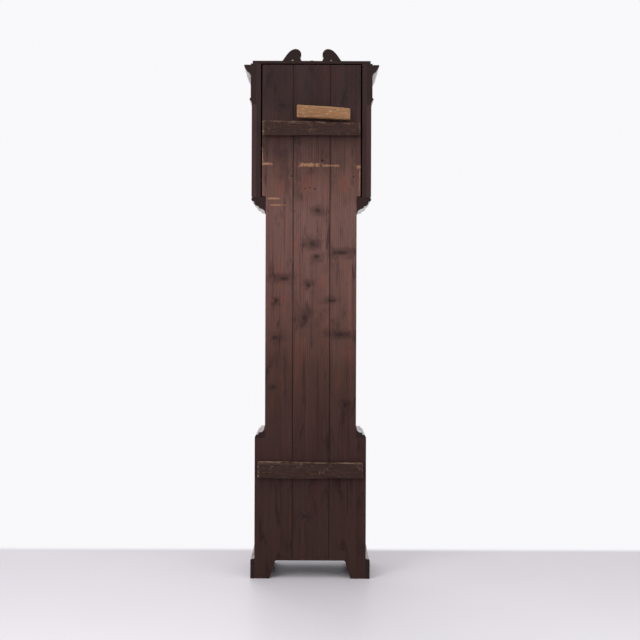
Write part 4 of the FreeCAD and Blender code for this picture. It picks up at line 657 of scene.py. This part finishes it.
def dialPaint(s, place):
    wear = s.group(wearGroup, Place=place, Scale=16.0, Amount=0.35)
    cells = s.put("ShaderNodeTexVoronoi", {"Vector": place, "Scale": 210.0}, feature="DISTANCE_TO_EDGE")
    crack = s.span(cells.outputs["Distance"], 0.0, 0.045, 1.0, 0.0)
    crack = s.times(crack, s.span(s.noise(place, 22.0, 2.0), 0.5, 0.7))
    colour = s.mix(s.span(wear["Dust"], 0.2, 0.9), linear(*dialValues["paint"]), linear(*dialValues["age"]))
    colour = s.mix(s.times(crack, 0.4), colour, linear(*dialValues["crack"]))
    colour = s.mix(s.times(wear["Worn"], 0.3), colour, linear(*dialValues["worn"]))
    return {"Base Color": colour, "Roughness": s.span(wear["Dust"], 0.2, 0.9, 0.3, 0.45),
            "Normal": s.bump(crack, -0.4, 0.0002), "Coat Weight": 0.2}


def inkPaint(s, place):
    faded = s.span(s.noise(place, 260.0, 3.0), 0.4, 0.8, 0.0, 0.4)
    colour = s.mix(faded, linear(*dialValues["ink"]), linear(*dialValues["inkFaded"]))
    return {"Base Color": colour, "Roughness": 0.42}


def goldPaint(s, place):
    speck = s.noise(place, 420.0, 3.0)
    colour = s.mix(s.span(speck, 0.35, 0.7), linear(*dialValues["gilt"]), linear(*dialValues["giltDull"]))
    return {"Base Color": colour, "Metallic": 0.7, "Roughness": s.span(speck, 0.2, 0.8, 0.3, 0.5),
            "Normal": s.bump(speck, 0.2, 0.0002)}


gutTones = {"light": (196, 164, 108), "dark": (150, 116, 70), "lay": 2600.0}     # lay in radians a metre


def gutFibre(s, place):
    lay = s.math("SINE", s.times(s.parts(place)[2], gutTones["lay"]))
    tone = s.noise(place, 90.0, 3.0)
    colour = s.mix(tone, linear(*gutTones["light"]), linear(*gutTones["dark"]))
    return {"Base Color": colour, "Roughness": 0.5, "Normal": s.bump(lay, 0.3, 0.0002)}


glassValues = {
    "clear": (0.97, 0.99, 0.98, 1.0),
    "smeared": (0.92, 0.93, 0.90, 1.0),
    "specular": 0.12,
    "index": 1.45,
    "noShade": 0.92,          # share of the light that the pane lets past without a shadow
}


def windowGlass(s, place):
    v = glassValues
    ripple = s.noise(place, 9.0, 2.0)
    smear = s.span(s.noise(place, 26.0, 4.0), 0.4, 0.8)
    path = s.put("ShaderNodeLightPath", {}).outputs
    thin = s.math("MAXIMUM", path["Is Shadow Ray"], path["Is Diffuse Ray"])
    return {"Base Color": s.mix(smear, v["clear"], v["smeared"]), "Roughness": 0.0,
            "Specular IOR Level": v["specular"], "Transmission Weight": 1.0, "IOR": v["index"],
            "Alpha": s.minus(1.0, s.times(thin, v["noShade"])), "Normal": s.bump(ripple, 0.12, 0.002)}


dialWhite = makeMaterial("dialPaint", dialPaint)
ink = makeMaterial("dialInk", inkPaint)
gilt = makeMaterial("dialGilt", goldPaint)
gut = makeMaterial("gutLine", gutFibre)
glass = makeMaterial("hoodGlass", windowGlass)
print("materials built")


# Dress the CAD nodes: a node's left is the front's left, which lies on the picture's right

def middle(node):
    low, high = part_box(node)
    return (low[0] + high[0]) / 2, (low[2] + high[2]) / 2


def turnedBrass(name, node):
    return agedMetal(name, metalValues["turnedBrass"], middle(node))


dressing = {
    "backboard_left": boardRight, "backboard_centre": boardCentre, "backboard_right": boardLeft,
    "backboard_ears": boardLeft, "seatboard": boardPlain, "dial_mask": boardPlain,
    "trunk_sides": upright, "trunk_front_frame": upright, "trunk_door": doorWood,
    "throat_moulding": lying, "base_moulding": lying, "base_sides": upright, "base_front": panelWood,
    "bracket_feet": lying, "hood_sides": hoodWood, "hood_sill": lying, "hood_frieze": lying,
    "hood_cornice": lying, "hood_top_board": lying,
    "swan_necks": darkUpright, "finial_plinth": darkUpright,
    "hood_columns": postWood, "hood_door_frame": hoodWood, "hood_door_glass": glass,
    "hood_door_fittings": brass, "pediment_rosettes": brass,
    "trunk_hinges": brass, "door_hinge_leaves": brass,
    "door_lock": lockSteel, "lock_bolt": lockSteel, "door_key": lockSteel, "movement_frame": brass,
    "dial_plate": dialWhite, "bell": turnedBrass("bellBrass", "bell"),
    "pallet_anchor": steel, "pendulum_rod": steel, "strike_hammer": steel,
    "pendulum_bob": turnedBrass("bobBrass", "pendulum_bob"), "going_weight": weightIron,
    "strike_weight": weightIron, "minute_hand": blued, "hour_hand": blued,
}
turnedNodes = ["going_great_wheel", "going_barrel", "centre_wheel", "third_wheel", "escape_wheel",
               "minute_wheel", "strike_great_wheel", "strike_barrel", "pin_wheel", "gathering_wheel",
               "warning_wheel", "strike_fly", "going_pulley", "strike_pulley"]
for name in turnedNodes:
    dressing[name] = turnedBrass(name + "Brass", name)


def dress(node, material):
    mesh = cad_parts[node].data
    mesh.materials.clear()
    mesh.materials.append(material)


for node, material in dressing.items():
    dress(node, material)
print("nodes dressed")


# Mesh helpers

def gridFaces(rows, columns, closeRows, closeColumns):
    # Quads between neighbouring points of a grid, wrapping round where a way is closed
    i = np.arange(rows if closeRows else rows - 1)
    j = np.arange(columns if closeColumns else columns - 1)
    i, j = np.meshgrid(i, j, indexing="ij")
    up, right = (i + 1) % rows, (j + 1) % columns
    corners = [i * columns + j, up * columns + j, up * columns + right, i * columns + right]
    return np.stack(corners, -1).reshape(-1, 4)


def makePiece(name, points, faces, body, material, smooth=True):
    # A piece rides on its body, or is left unattached when no body is given
    mesh = bpy.data.meshes.new(name)
    mesh.from_pydata(points.tolist(), [], [list(map(int, f)) for f in faces])
    work = bmesh.new()
    work.from_mesh(mesh)
    bmesh.ops.remove_doubles(work, verts=work.verts, dist=1e-7)
    bmesh.ops.recalc_face_normals(work, faces=work.faces)
    work.to_mesh(mesh)
    work.free()
    if smooth:
        mesh.shade_smooth()
    else:
        mesh.shade_flat()
    mesh.materials.append(material)
    piece = addObject(name, mesh)
    if body is not None:
        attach(piece, body)
    return piece


def tubeMesh(sections):
    # Sections of a closed loop, one after another, shut by a fan at each end
    rows, columns = sections.shape[:2]
    faces = gridFaces(rows, columns, False, True).tolist()
    points = sections.reshape(-1, 3)
    ends = np.stack([sections[0].mean(0), sections[-1].mean(0)])
    points = np.concatenate([points, ends])
    for end, first in ((rows * columns, 0), (rows * columns + 1, (rows - 1) * columns)):
        faces += [[end, first + k, first + (k + 1) % columns] for k in range(columns)]
    return points, faces


def manyOf(points, faces, places):
    # The same small mesh at many places
    total = (points[None] + np.asarray(places)[:, None]).reshape(-1, 3)
    shifts = np.arange(len(places)) * len(points)
    return total, [[v + int(shift) for v in face] for shift in shifts for face in faces]


# Battens and block across the back: a rounded section carried along, with uneven edges

def roundedLoop(radius, steps):
    # A square from -1 to 1 with its corners drawn in, and points along its long sides
    side = np.linspace(-1 + radius, 1 - radius, 7)
    turn = np.linspace(0, math.pi / 2, steps)[1:-1]
    arcs = []
    for quarter in range(4):
        run = np.stack([side, np.full_like(side, -1.0)], -1)
        corner = np.stack([1 - radius + radius * np.sin(turn), -1 + radius - radius * np.cos(turn)], -1)
        c, s = math.cos(quarter * math.pi / 2), math.sin(quarter * math.pi / 2)
        both = np.concatenate([run, corner])
        arcs.append(both @ np.array([[c, s], [-s, c]]))
    return np.concatenate(arcs)


# Each end is x, lower edge and upper edge, and left and right are the picture's
roughValues = {
    "upper_batten": {"left": (0.195, 1.778, 1.840), "right": (-0.195, 1.778, 1.831), "depth": 0.020,
                     "uneven": 0.0012, "seed": 1.0},
    "lower_batten": {"left": (0.211, 0.404, 0.473), "right": (-0.211, 0.404, 0.469), "depth": 0.020,
                     "uneven": 0.0018, "seed": 2.3},
    "wall_block": {"left": (0.0583, 1.849, 1.902), "right": (-0.1543, 1.841, 1.887), "depth": 0.032,
                   "uneven": 0.0014, "seed": 4.1},
}
sawnValues = {
    "rows": 90,
    "corner": 0.12,           # share of the half width
    "cornerSteps": 5,
    "waves": (1.0, 3.3, 7.9),
    "waveTurn": 6.283,
    "wavePhase": 1.7,
    "faceWave": 0.2,          # how far the face waves, as a share of the edges
    "endRows": 2.5,           # rows over which an end draws in
    "endWidth": 0.93,
    "endDepth": 0.86,
    "endWander": 0.0012,
    "litEdge": 0.006,             # width of the painted highlight along the lit edges
    # The picture's right end gets a narrower, weaker painted highlight
    "rightLitEdge": 0.005,
    "rightLitShare": 0.5,
}


def roughBoard(node, v, cut, material):
    # Middle line from end to end, half width falling evenly, edges moved by a sum of three sines
    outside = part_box(node)[1][1]
    u = np.linspace(0, 1, cut["rows"])[:, None]
    loop = roundedLoop(cut["corner"], cut["cornerSteps"])[None]
    (x0, bottom0, top0), (x1, bottom1, top1) = v["left"], v["right"]
    x = x0 + (x1 - x0) * u
    bottom = bottom0 + (bottom1 - bottom0) * u
    top = top0 + (top1 - top0) * u
    waves = sum(np.sin(u * k * cut["waveTurn"] + v["seed"] * k * loop[..., 0] * cut["wavePhase"]) / k
                for k in cut["waves"])
    uneven = v["uneven"] * (1 + waves / 2)
    pinch = np.clip(np.minimum(u, 1 - u) * cut["rows"] / cut["endRows"], 0, 1) ** 0.5
    halfWidth = (top - bottom) / 2 - uneven
    halfDepth = v["depth"] / 2
    z = (bottom + top) / 2 + loop[..., 0] * halfWidth * (cut["endWidth"] + (1 - cut["endWidth"]) * pinch)
    y = outside - halfDepth + loop[..., 1] * (halfDepth - uneven * cut["faceWave"]) * (
        cut["endDepth"] + (1 - cut["endDepth"]) * pinch)
    end = cut["endWander"] * np.sin(v["seed"] * 5 + loop[..., 0] * 9) * (u - 0.5) ** 6 * 64
    sections = np.stack(np.broadcast_arrays(x + end, y, z), -1)
    piece = makePiece(node + "_sawn", *tubeMesh(sections), "case", material)
    co = np.empty(len(piece.data.vertices) * 3)
    piece.data.vertices.foreach_get("co", co)
    co = co.reshape(-1, 3)
    # Painted highlight: the top edge and the picture-left end are marked where light falls, and the right
    # end at half strength
    across = (x0 - co[:, 0]) / (x0 - x1)
    topEdge = top0 + (top1 - top0) * across
    litRim = np.clip(1 - (topEdge - co[:, 2]) / cut["litEdge"], 0, 1)
    litRim = np.maximum(litRim, np.clip(1 - (x0 - co[:, 0]) / cut["litEdge"], 0, 1))
    litRim = np.maximum(litRim, cut["rightLitShare"] * np.clip(1 - (co[:, 0] - x1) / cut["rightLitEdge"], 0, 1))
    # The edge attribute carries this painted highlight to the material
    edge = piece.data.attributes.new("edge", "FLOAT", "POINT")
    edge.data.foreach_set("value", litRim.astype(np.float32))
    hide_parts(node)


for node, values in roughValues.items():
    roughBoard(node, values, sawnValues, blockWood if node == "wall_block" else battenWood)
print("battens and block made")


# Nail heads through the battens and along the backboards' edges

nailValues = {"radius": 0.0026, "height": 0.0009, "round": 0.6, "sunk": 0.0002, "rings": 5, "sides": 12}
battenFace = 0.1427
nailPlaces = {
    "upperBattenNails": (battenFace, [(x, z) for x in (0.168, 0.088, 0.018, -0.052, -0.098, -0.170)
                                      for z in (1.793, 1.818)]),
    "lowerBattenNails": (battenFace, [(x, z) for x in (0.188, 0.094, 0.014, -0.058, -0.110, -0.186)
                                      for z in (0.420, 0.453)]),
    "backNails": (caseValues["backY"], [(x, z) for x in (0.173, 0.066, -0.070, -0.174)
                                        for z in (0.612, 1.478, 2.040)]),
}


def nailHead(v):
    # A shallow dome: radius falls as a power of the cosine, height rises as the sine
    a = np.linspace(0, math.pi / 2, v["rings"])[:, None]
    b = np.linspace(0, 2 * math.pi, v["sides"], endpoint=False)[None]
    r = v["radius"] * np.cos(a) ** v["round"]
    sections = np.stack([r * np.cos(b), v["height"] * np.sin(a) + 0 * b, r * np.sin(b)], -1)
    return tubeMesh(sections)


domePoints, domeFaces = nailHead(nailValues)
for name, (y, spots) in nailPlaces.items():
    places = [(x, y - nailValues["sunk"], z) for x, z in spots]
    nails = makePiece(name, *manyOf(domePoints, domeFaces, places), "case", nailIron)
print("nails made")


# Dial: printed rings, numerals and ticks, and gilt scrolls in the corners

dialLow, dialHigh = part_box("dial_plate")
printValues = {
    "y": dialLow[1],          # the dial's painted face
    "x": 0.0,
    "z": (dialLow[2] + dialHigh[2]) / 2,
    "thick": 0.00022,
    "sunk": 0.0001,
    "rings": [(0.0885, 0.0893), (0.1238, 0.1245), (0.1290, 0.1297)],
    "ringSteps": 160,
    "numerals": 0.1065,       # radius of the hour numerals' middle
    "numeralHalf": 0.0125,
    "stem": 0.0030,
    "hair": 0.0010,
    "inset": 0.0014,          # from half a letter's width to its outer stroke
    "serif": 1.9,             # stems
    "hourTick": 0.0016,
    "minuteTick": 0.0006,
    "minutes": 0.1375,
    "minuteText": 0.0115,
    "seconds": (0.048, 0.0235, 0.0262),      # rise of the small circle, and its two rings
    "secondRing": 0.0005,
    "longTick": 0.0009,
    "shortTick": 0.0004,
    "secondText": 0.0068,
    "secondTextIn": 0.0050,
}
numeralWidths = {"I": 0.0058, "V": 0.0135, "X": 0.0125}
hourNames = ["XII", "I", "II", "III", "IIII", "V", "VI", "VII", "VIII", "IX", "X", "XI"]


def strokeQuad(x0, z0, x1, z1, width):
    # Four corners of a straight stroke, cut level at its ends
    return [(x0 - width / 2, z0), (x0 + width / 2, z0), (x1 + width / 2, z1), (x1 - width / 2, z1)]


def letterStrokes(letter, middleX, v):
    h, stem, hair = v["numeralHalf"], v["stem"], v["hair"]
    half = numeralWidths[letter] / 2 - v["inset"]
    wide = stem * v["serif"] if letter == "I" else 2 * half + stem
    serif = [strokeQuad(middleX, side * h, middleX, side * (h - hair), wide) for side in (-1, 1)]
    if letter == "I":
        return [strokeQuad(middleX, -h, middleX, h, stem)] + serif
    if letter == "V":
        return [strokeQuad(middleX, -h, middleX - half, h, stem),
                strokeQuad(middleX, -h, middleX + half, h, hair), serif[1]]
    return [strokeQuad(middleX + half, -h, middleX - half, h, stem),
            strokeQuad(middleX - half, -h, middleX + half, h, hair)] + serif


def prismsFrom(quads, turn, v, rise=0.0):
    # Each flat quad, turned about a point above the dial's middle and raised off its face
    quads = np.array(quads)
    c, s = math.cos(turn), math.sin(turn)
    x = quads[..., 0] * c + quads[..., 1] * s
    z = quads[..., 1] * c - quads[..., 0] * s + rise
    low = np.stack([x + v["x"], np.full_like(x, v["y"] + v["sunk"]), z + v["z"]], -1)
    high = low - np.array([0, v["thick"] + v["sunk"], 0])
    points = np.concatenate([low, high], 1).reshape(-1, 3)
    faces = [[0, 1, 2, 3], [7, 6, 5, 4], [0, 4, 5, 1], [1, 5, 6, 2], [2, 6, 7, 3], [3, 7, 4, 0]]
    return points, [[8 * k + i for i in f] for k in range(len(quads)) for f in faces]


def ringBand(inner, outer, v, lift=0.0, centre=(0.0, 0.0)):
    # A flat ring of square section, worked out round the circle
    a = np.linspace(0, 2 * math.pi, v["ringSteps"], endpoint=False)[:, None]
    r = np.array([inner, outer, outer, inner])[None]
    under, over = v["y"] + v["sunk"], v["y"] - v["thick"] - lift
    y = np.array([under, under, over, over])[None]
    grid = np.stack(np.broadcast_arrays(v["x"] + centre[0] + r * np.cos(a), y,
                                        v["z"] + centre[1] + r * np.sin(a)), -1)
    return grid.reshape(-1, 3), gridFaces(v["ringSteps"], 4, True, True).tolist()


def joinMeshes(parts):
    points, faces, count = [], [], 0
    for p, f in parts:
        points.append(p)
        faces += [[i + count for i in face] for face in f]
        count += len(p)
    return np.concatenate(points), faces


def textMesh(text, size, centreX, centreZ, v):
    # A number in the plain built-in face, upright on the dial, centred on a point
    curve = bpy.data.curves.new("dialNumber", "FONT")
    curve.body = text
    curve.size = size
    curve.align_x = "CENTER"
    curve.align_y = "CENTER"
    curve.extrude = v["thick"] / 2
    made = bpy.data.objects.new("dialNumber", curve)
    mesh = bpy.data.meshes.new_from_object(made)
    points = np.empty(len(mesh.vertices) * 3)
    mesh.vertices.foreach_get("co", points)
    points = points.reshape(-1, 3)
    faces = [list(p.vertices) for p in mesh.polygons]
    placed = np.stack([v["x"] + centreX + points[:, 0], v["y"] - v["thick"] / 2 - points[:, 2],
                       v["z"] + centreZ + points[:, 1]], -1)
    bpy.data.objects.remove(made)
    bpy.data.curves.remove(curve)
    bpy.data.meshes.remove(mesh)
    return placed, faces


def onCircle(radius, turn):
    return radius * math.sin(turn), radius * math.cos(turn)


def makeDialPrint(v):
    parts = [ringBand(inner, outer, v) for inner, outer in v["rings"]]
    for hour, letters in enumerate(hourNames):
        widths = [numeralWidths[letter] for letter in letters]
        quads, x = [], -sum(widths) / 2
        for letter, width in zip(letters, widths):
            strokes = letterStrokes(letter, x + width / 2, v)
            quads += [[(px, pz + v["numerals"]) for px, pz in quad] for quad in strokes]
            x += width
        parts.append(prismsFrom(quads, hour * math.pi / 6, v))
    inner, outer = v["rings"][1][1], v["rings"][2][0]
    for minute in range(60):
        wide = v["minuteTick"] if minute % 5 else v["hourTick"]
        parts.append(prismsFrom([strokeQuad(0, inner, 0, outer, wide)], minute * math.pi / 30, v))
    for minute in range(5, 65, 5):
        x, z = onCircle(v["minutes"], minute * math.pi / 30)
        parts.append(textMesh(str(minute), v["minuteText"], x, z, v))
    rise, inner, outer = v["seconds"]
    for edge in (inner, outer):
        parts.append(ringBand(edge, edge + v["secondRing"], v, centre=(0, rise)))
    for second in range(60):
        wide = v["shortTick"] if second % 5 else v["longTick"]
        parts.append(prismsFrom([strokeQuad(0, inner, 0, outer, wide)], second * math.pi / 30, v, rise))
    for second in (15, 30, 45, 60):
        x, z = onCircle(inner - v["secondTextIn"], second * math.pi / 30)
        parts.append(textMesh(str(second), v["secondText"], x, rise + z, v))
    points, faces = joinMeshes(parts)
    piece = makePiece("dialPrint", points, faces, "case", ink, smooth=False)


makeDialPrint(printValues)
print("dial printed")


scrollValues = {
    "corner": 0.1245,
    "size": 0.021,
    "width": 0.0024,
    "height": 0.0006,
    "turns": 1.2,
    "leans": (-0.5, 0.0, 0.5),
    "leafBend": 0.0015,
    "leafTip": 0.0004,
    "sunk": 0.00005,
}


def scrollStroke(v, flip):
    # A spiral: radius shrinks evenly with the angle, and the stroke narrows with it
    t = np.linspace(0, 1, 60)
    angle = flip * (0.4 + v["turns"] * 2 * math.pi * t)
    radius = v["size"] * (0.5 - 0.42 * t)
    x = flip * v["size"] * 0.42 + radius * np.cos(angle)
    z = radius * np.sin(angle)
    return np.stack([x, z], -1), v["width"] * (1.1 - 0.75 * t)


def leafStroke(v, lean):
    # A leaf: a bent line whose width swells and falls as a sine
    t = np.linspace(0, 1, 24)
    x = v["size"] * (0.15 + 1.1 * t) * math.sin(lean) + v["leafBend"] * np.sin(math.pi * t)
    z = v["size"] * (0.15 + 1.1 * t) * math.cos(lean)
    return np.stack([x, z], -1), v["leafTip"] + v["width"] * 1.3 * np.sin(math.pi * t) ** 0.8


def ribbonMesh(line, width, v, turn, centre, dial):
    # A half oval section carried along a flat line
    ahead = np.gradient(line, axis=0)
    ahead /= np.linalg.norm(ahead, axis=1, keepdims=True)
    side = np.stack([-ahead[:, 1], ahead[:, 0]], -1)
    a = np.linspace(0, math.pi, 7)[None]
    flat = line[:, None] + side[:, None] * (np.cos(a) * width[:, None] / 2)[..., None]
    rise = np.sin(a) * v["height"] * (0.3 + 0.7 * width[:, None] / width.max())
    c, s = math.cos(turn), math.sin(turn)
    x = flat[..., 0] * c + flat[..., 1] * s + centre[0] + dial["x"]
    z = flat[..., 1] * c - flat[..., 0] * s + centre[1] + dial["z"]
    return tubeMesh(np.stack([x, dial["y"] + v["sunk"] - rise, z], -1))


def makeCorners(v, dial):
    parts = []
    for k in range(4):
        turn = math.pi / 4 + k * math.pi / 2
        centre = v["corner"] * np.sign([math.sin(turn), math.cos(turn)])
        for flip in (-1, 1):
            parts.append(ribbonMesh(*scrollStroke(v, flip), v, turn, centre, dial))
        for lean in v["leans"]:
            parts.append(ribbonMesh(*leafStroke(v, lean), v, turn + math.pi, centre, dial))
    points, faces = joinMeshes(parts)
    piece = makePiece("dialCorners", points, faces, "case", gilt)


makeCorners(scrollValues, printValues)
print("dial corners made")


# Brass rings round the winding holes and the keyhole plate

ringValues = {
    "places": [(0.0402, -0.0108), (-0.0402, -0.0108)],
    "inner": 0.0067,
    "outer": 0.0088,
    "lift": 0.0006,
}


def makeWindingRings(v, dial):
    parts = [ringBand(v["inner"], v["outer"], dial, v["lift"], place) for place in v["places"]]
    windingRings = makePiece("windingRings", *joinMeshes(parts), "case", brass, smooth=False)


plateValues = {
    "x": -0.0740,
    "z": 1.0375,
    "halfWidth": 0.0098,
    "halfHeight": 0.0165,
    "thick": 0.0007,
    "sunk": 0.00005,
    "lobes": 8,
    "lobeShare": 0.06,
    "bevelShare": 0.96,       # size of the upper edge as a share of the lower one
    "slotHalfWidth": 0.0036,
    "slotHalfHeight": 0.0088,
    "slotRise": 0.0002,
    "steps": 72,
}


def makeKeyPlate(v):
    # A pierced oval plate: an outer oval and an inner slot, joined round by a square section
    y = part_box("trunk_door")[0][1]
    a = np.linspace(0, 2 * math.pi, v["steps"], endpoint=False)[:, None]
    scallop = 1 + v["lobeShare"] * np.cos(v["lobes"] * a)
    outerX, outerZ = v["halfWidth"] * scallop * np.cos(a), v["halfHeight"] * scallop * np.sin(a)
    innerX, innerZ = v["slotHalfWidth"] * np.cos(a), v["slotHalfHeight"] * np.sin(a) + v["slotRise"]
    x = np.concatenate([innerX, outerX, outerX * v["bevelShare"], innerX], 1)
    z = np.concatenate([innerZ, outerZ, outerZ * v["bevelShare"], innerZ], 1)
    depth = np.array([0.0, 0.0, v["thick"], v["thick"]])[None] - v["sunk"]
    grid = np.stack(np.broadcast_arrays(v["x"] + x, y - depth, v["z"] + z), -1)
    faces = gridFaces(v["steps"], 4, True, True)
    piece = makePiece("keyPlate", grid.reshape(-1, 3), faces, "trunk_door", brass)


makeWindingRings(ringValues, printValues)
makeKeyPlate(plateValues)
print("brass plates made")


# Tongues in the seams of the backboards, so that no light comes through

tongueValues = {"half": 0.0009, "y": (0.112, 0.118), "z": (0.0745, 2.064)}


def makeTongues(v, seams):
    # A strip of four corners a section, carried straight up
    near, far = v["y"]
    y = np.array([near, near, far, far])
    for number, seam in enumerate(seams, 1):
        x = seam + v["half"] * np.array([-1, 1, 1, -1])
        sections = np.stack([np.stack([x, y, np.full(4, z)], 1) for z in v["z"]])
        piece = makePiece("boardTongue%d" % number, *tubeMesh(sections), "case", boardCentre, smooth=False)


makeTongues(tongueValues, markValues["seams"])
print("tongues made")


# Gut lines: down from the barrel, round under the pulley and up to the seatboard

gutValues = {
    "outerX": 0.06528,
    "innerX": 0.01528,
    "y": -0.00565,
    "top": 1.70848,
    "seat": 1.65725,
    "pulley": 1.29925,
    "radius": 0.0008,
    "step": 0.012,
    "turnSteps": 28,
    "around": 10,
    "bend": (1.640, 1.335),   # heights between which a line gives way to its weight's rise and fall
}


def gutPath(v):
    # Two straight runs, and a half circle about the pulley's middle between them
    middleX, turnRadius = (v["outerX"] + v["innerX"]) / 2, (v["outerX"] - v["innerX"]) / 2
    down = np.arange(v["top"], v["pulley"] + v["step"] / 2, -v["step"])
    up = np.arange(v["seat"], v["pulley"] + v["step"] / 2, -v["step"])[::-1]
    turn = np.linspace(0, math.pi, v["turnSteps"])
    x = np.concatenate([np.full(len(down), v["outerX"]), middleX + turnRadius * np.cos(turn),
                        np.full(len(up), v["innerX"])])
    z = np.concatenate([down, v["pulley"] - turnRadius * np.sin(turn), up])
    return x, z


def makeGutLine(name, side, v):
    # A circle carried along the path: cosine across it, sine along Y
    x, z = gutPath(v)
    along = np.stack([np.gradient(x), np.gradient(z)], 1)
    along = along / np.linalg.norm(along, axis=1)[:, None]
    around = np.linspace(0, 2 * math.pi, v["around"], endpoint=False)
    out = v["radius"] * np.cos(around)
    depth = np.broadcast_to(v["y"] + v["radius"] * np.sin(around), (len(x), len(around)))
    acrossX = side * (x[:, None] + along[:, 1:] * out)
    sections = np.stack([acrossX, depth, z[:, None] - along[:, :1] * out], 2)
    piece = makePiece(name, *tubeMesh(sections), None, gut)
    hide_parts("gut_lines")
    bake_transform(piece)


makeGutLine("gutLineGoing", 1, gutValues)
makeGutLine("gutLineStrike", -1, gutValues)
print("gut lines made")


# Floor, background and lamps

stageValues = {
    "floor": (235, 231, 235),
    "floorBackShade": (209, 204, 209),
    "wall": (249, 248, 250),
    "wallY": -0.30,
    "fade": 0.08,
    "near": (-0.4, 2.2),      # metres towards the camera over which the floor's painted shade gives way to painted light
    "far": (2.2, 5.5),        # metres from the clock over which the floor runs out into white
    "half": 14.0,
    "specular": 0.25,
    "sky": (0.93, 0.95, 1.0, 1.0),
    "skyLevel": 0.50,
}


def seenDirectly(s):
    # 1 for the camera, for gloss and through glass
    path = s.put("ShaderNodeLightPath", {}).outputs
    return s.math("MAXIMUM", path["Is Camera Ray"],
                  s.math("MAXIMUM", path["Is Glossy Ray"], path["Is Transmission Ray"]))


def makeFloor(v):
    data = bpy.data.meshes.new("studioFloor")
    half = v["half"]
    corners = [(-half, -half, 0), (half, -half, 0), (half, half, 0), (-half, half, 0)]
    data.from_pydata(corners, [], [(0, 1, 2, 3)])
    floor = addObject("studioFloor", data)
    material = bpy.data.materials.new("studioFloor")
    s = emptyShade(material)
    place = s.put("ShaderNodeTexCoord", {}).outputs["Object"]
    y = s.parts(place)[1]
    # Painted light: the floor is painted darker at the back and lighter towards the camera, as the lamps'
    # light falls off
    colour = s.mix(s.span(y, *v["near"]), linear(*v["floorBackShade"]), linear(*v["floor"]))
    rough = s.span(s.noise(place, 3.0, 3.0), 0.3, 0.7, 0.42, 0.5)
    lit = s.put("ShaderNodeBsdfPrincipled", {"Base Color": colour, "Roughness": rough,
                                             "Specular IOR Level": v["specular"]})
    wall = s.put("ShaderNodeEmission", {"Color": linear(*v["wall"]), "Strength": 1.0})
    away = s.put("ShaderNodeVectorMath", {0: place}, operation="LENGTH").outputs["Value"]
    behind = s.span(y, v["wallY"] - v["fade"], v["wallY"], 1.0, 0.0)
    white = s.math("MAXIMUM", behind, s.span(away, *v["far"]))
    beyond = s.times(white, seenDirectly(s))
    both = s.put("ShaderNodeMixShader", {0: beyond, 1: lit.outputs[0], 2: wall.outputs[0]})
    s.put("ShaderNodeOutputMaterial", {"Surface": both.outputs[0]})
    data.materials.append(material)


def makeWorld(v):
    # White to the eye, to gloss and through glass, and a plainer level as light
    world = bpy.data.worlds.new("studioWorld")
    bpy.context.scene.world = world
    s = emptyShade(world)
    plain = s.put("ShaderNodeBackground", {"Color": v["sky"], "Strength": v["skyLevel"]})
    white = s.put("ShaderNodeBackground", {"Color": linear(*v["wall"]), "Strength": 1.0})
    both = s.put("ShaderNodeMixShader", {0: seenDirectly(s), 1: plain.outputs[0], 2: white.outputs[0]})
    s.put("ShaderNodeOutputWorld", {"Surface": both.outputs[0]})


lampValues = {
    "overHead": {"place": (0.3, 1.2, 4.4), "aim": (0, 0.1, 0.9), "size": 3.2, "power": 74},
    "leftKey": {"place": (2.6, 3.0, 2.6), "aim": (0, 0.1, 1.1), "size": 2.0, "power": 58},
    "rightFill": {"place": (-3.0, 2.4, 1.8), "aim": (0, 0.1, 1.0), "size": 2.4, "power": 32},
    "dialSide": {"place": (1.2, -3.4, 2.8), "aim": (0, 0, 1.2), "size": 2.4, "power": 58, "inGlass": False},
}


def makeLamp(name, v):
    data = bpy.data.lights.new(name, "AREA")
    data.size = v["size"]
    data.energy = v["power"]
    lamp = addObject(name, data)
    away = np.array(v["place"]) - np.array(v["aim"])
    away = away / np.linalg.norm(away)
    side = np.cross((0, 0, 1), away)
    side = side / np.linalg.norm(side)
    up = np.cross(away, side)
    turn = Matrix(np.stack([side, up, away], 1).tolist()).to_4x4()
    lamp.matrix_world = Matrix.Translation(v["place"]) @ turn
    inGlass = v.get("inGlass", True)      # a lamp left out of the pane lets the dial be read
    lamp.visible_glossy = inGlass
    lamp.visible_transmission = inGlass


makeFloor(stageValues)
makeWorld(stageValues)
for name, values in lampValues.items():
    makeLamp(name, values)
bpy.context.scene.view_settings.view_transform = "Standard"
print("stage and lamps set")
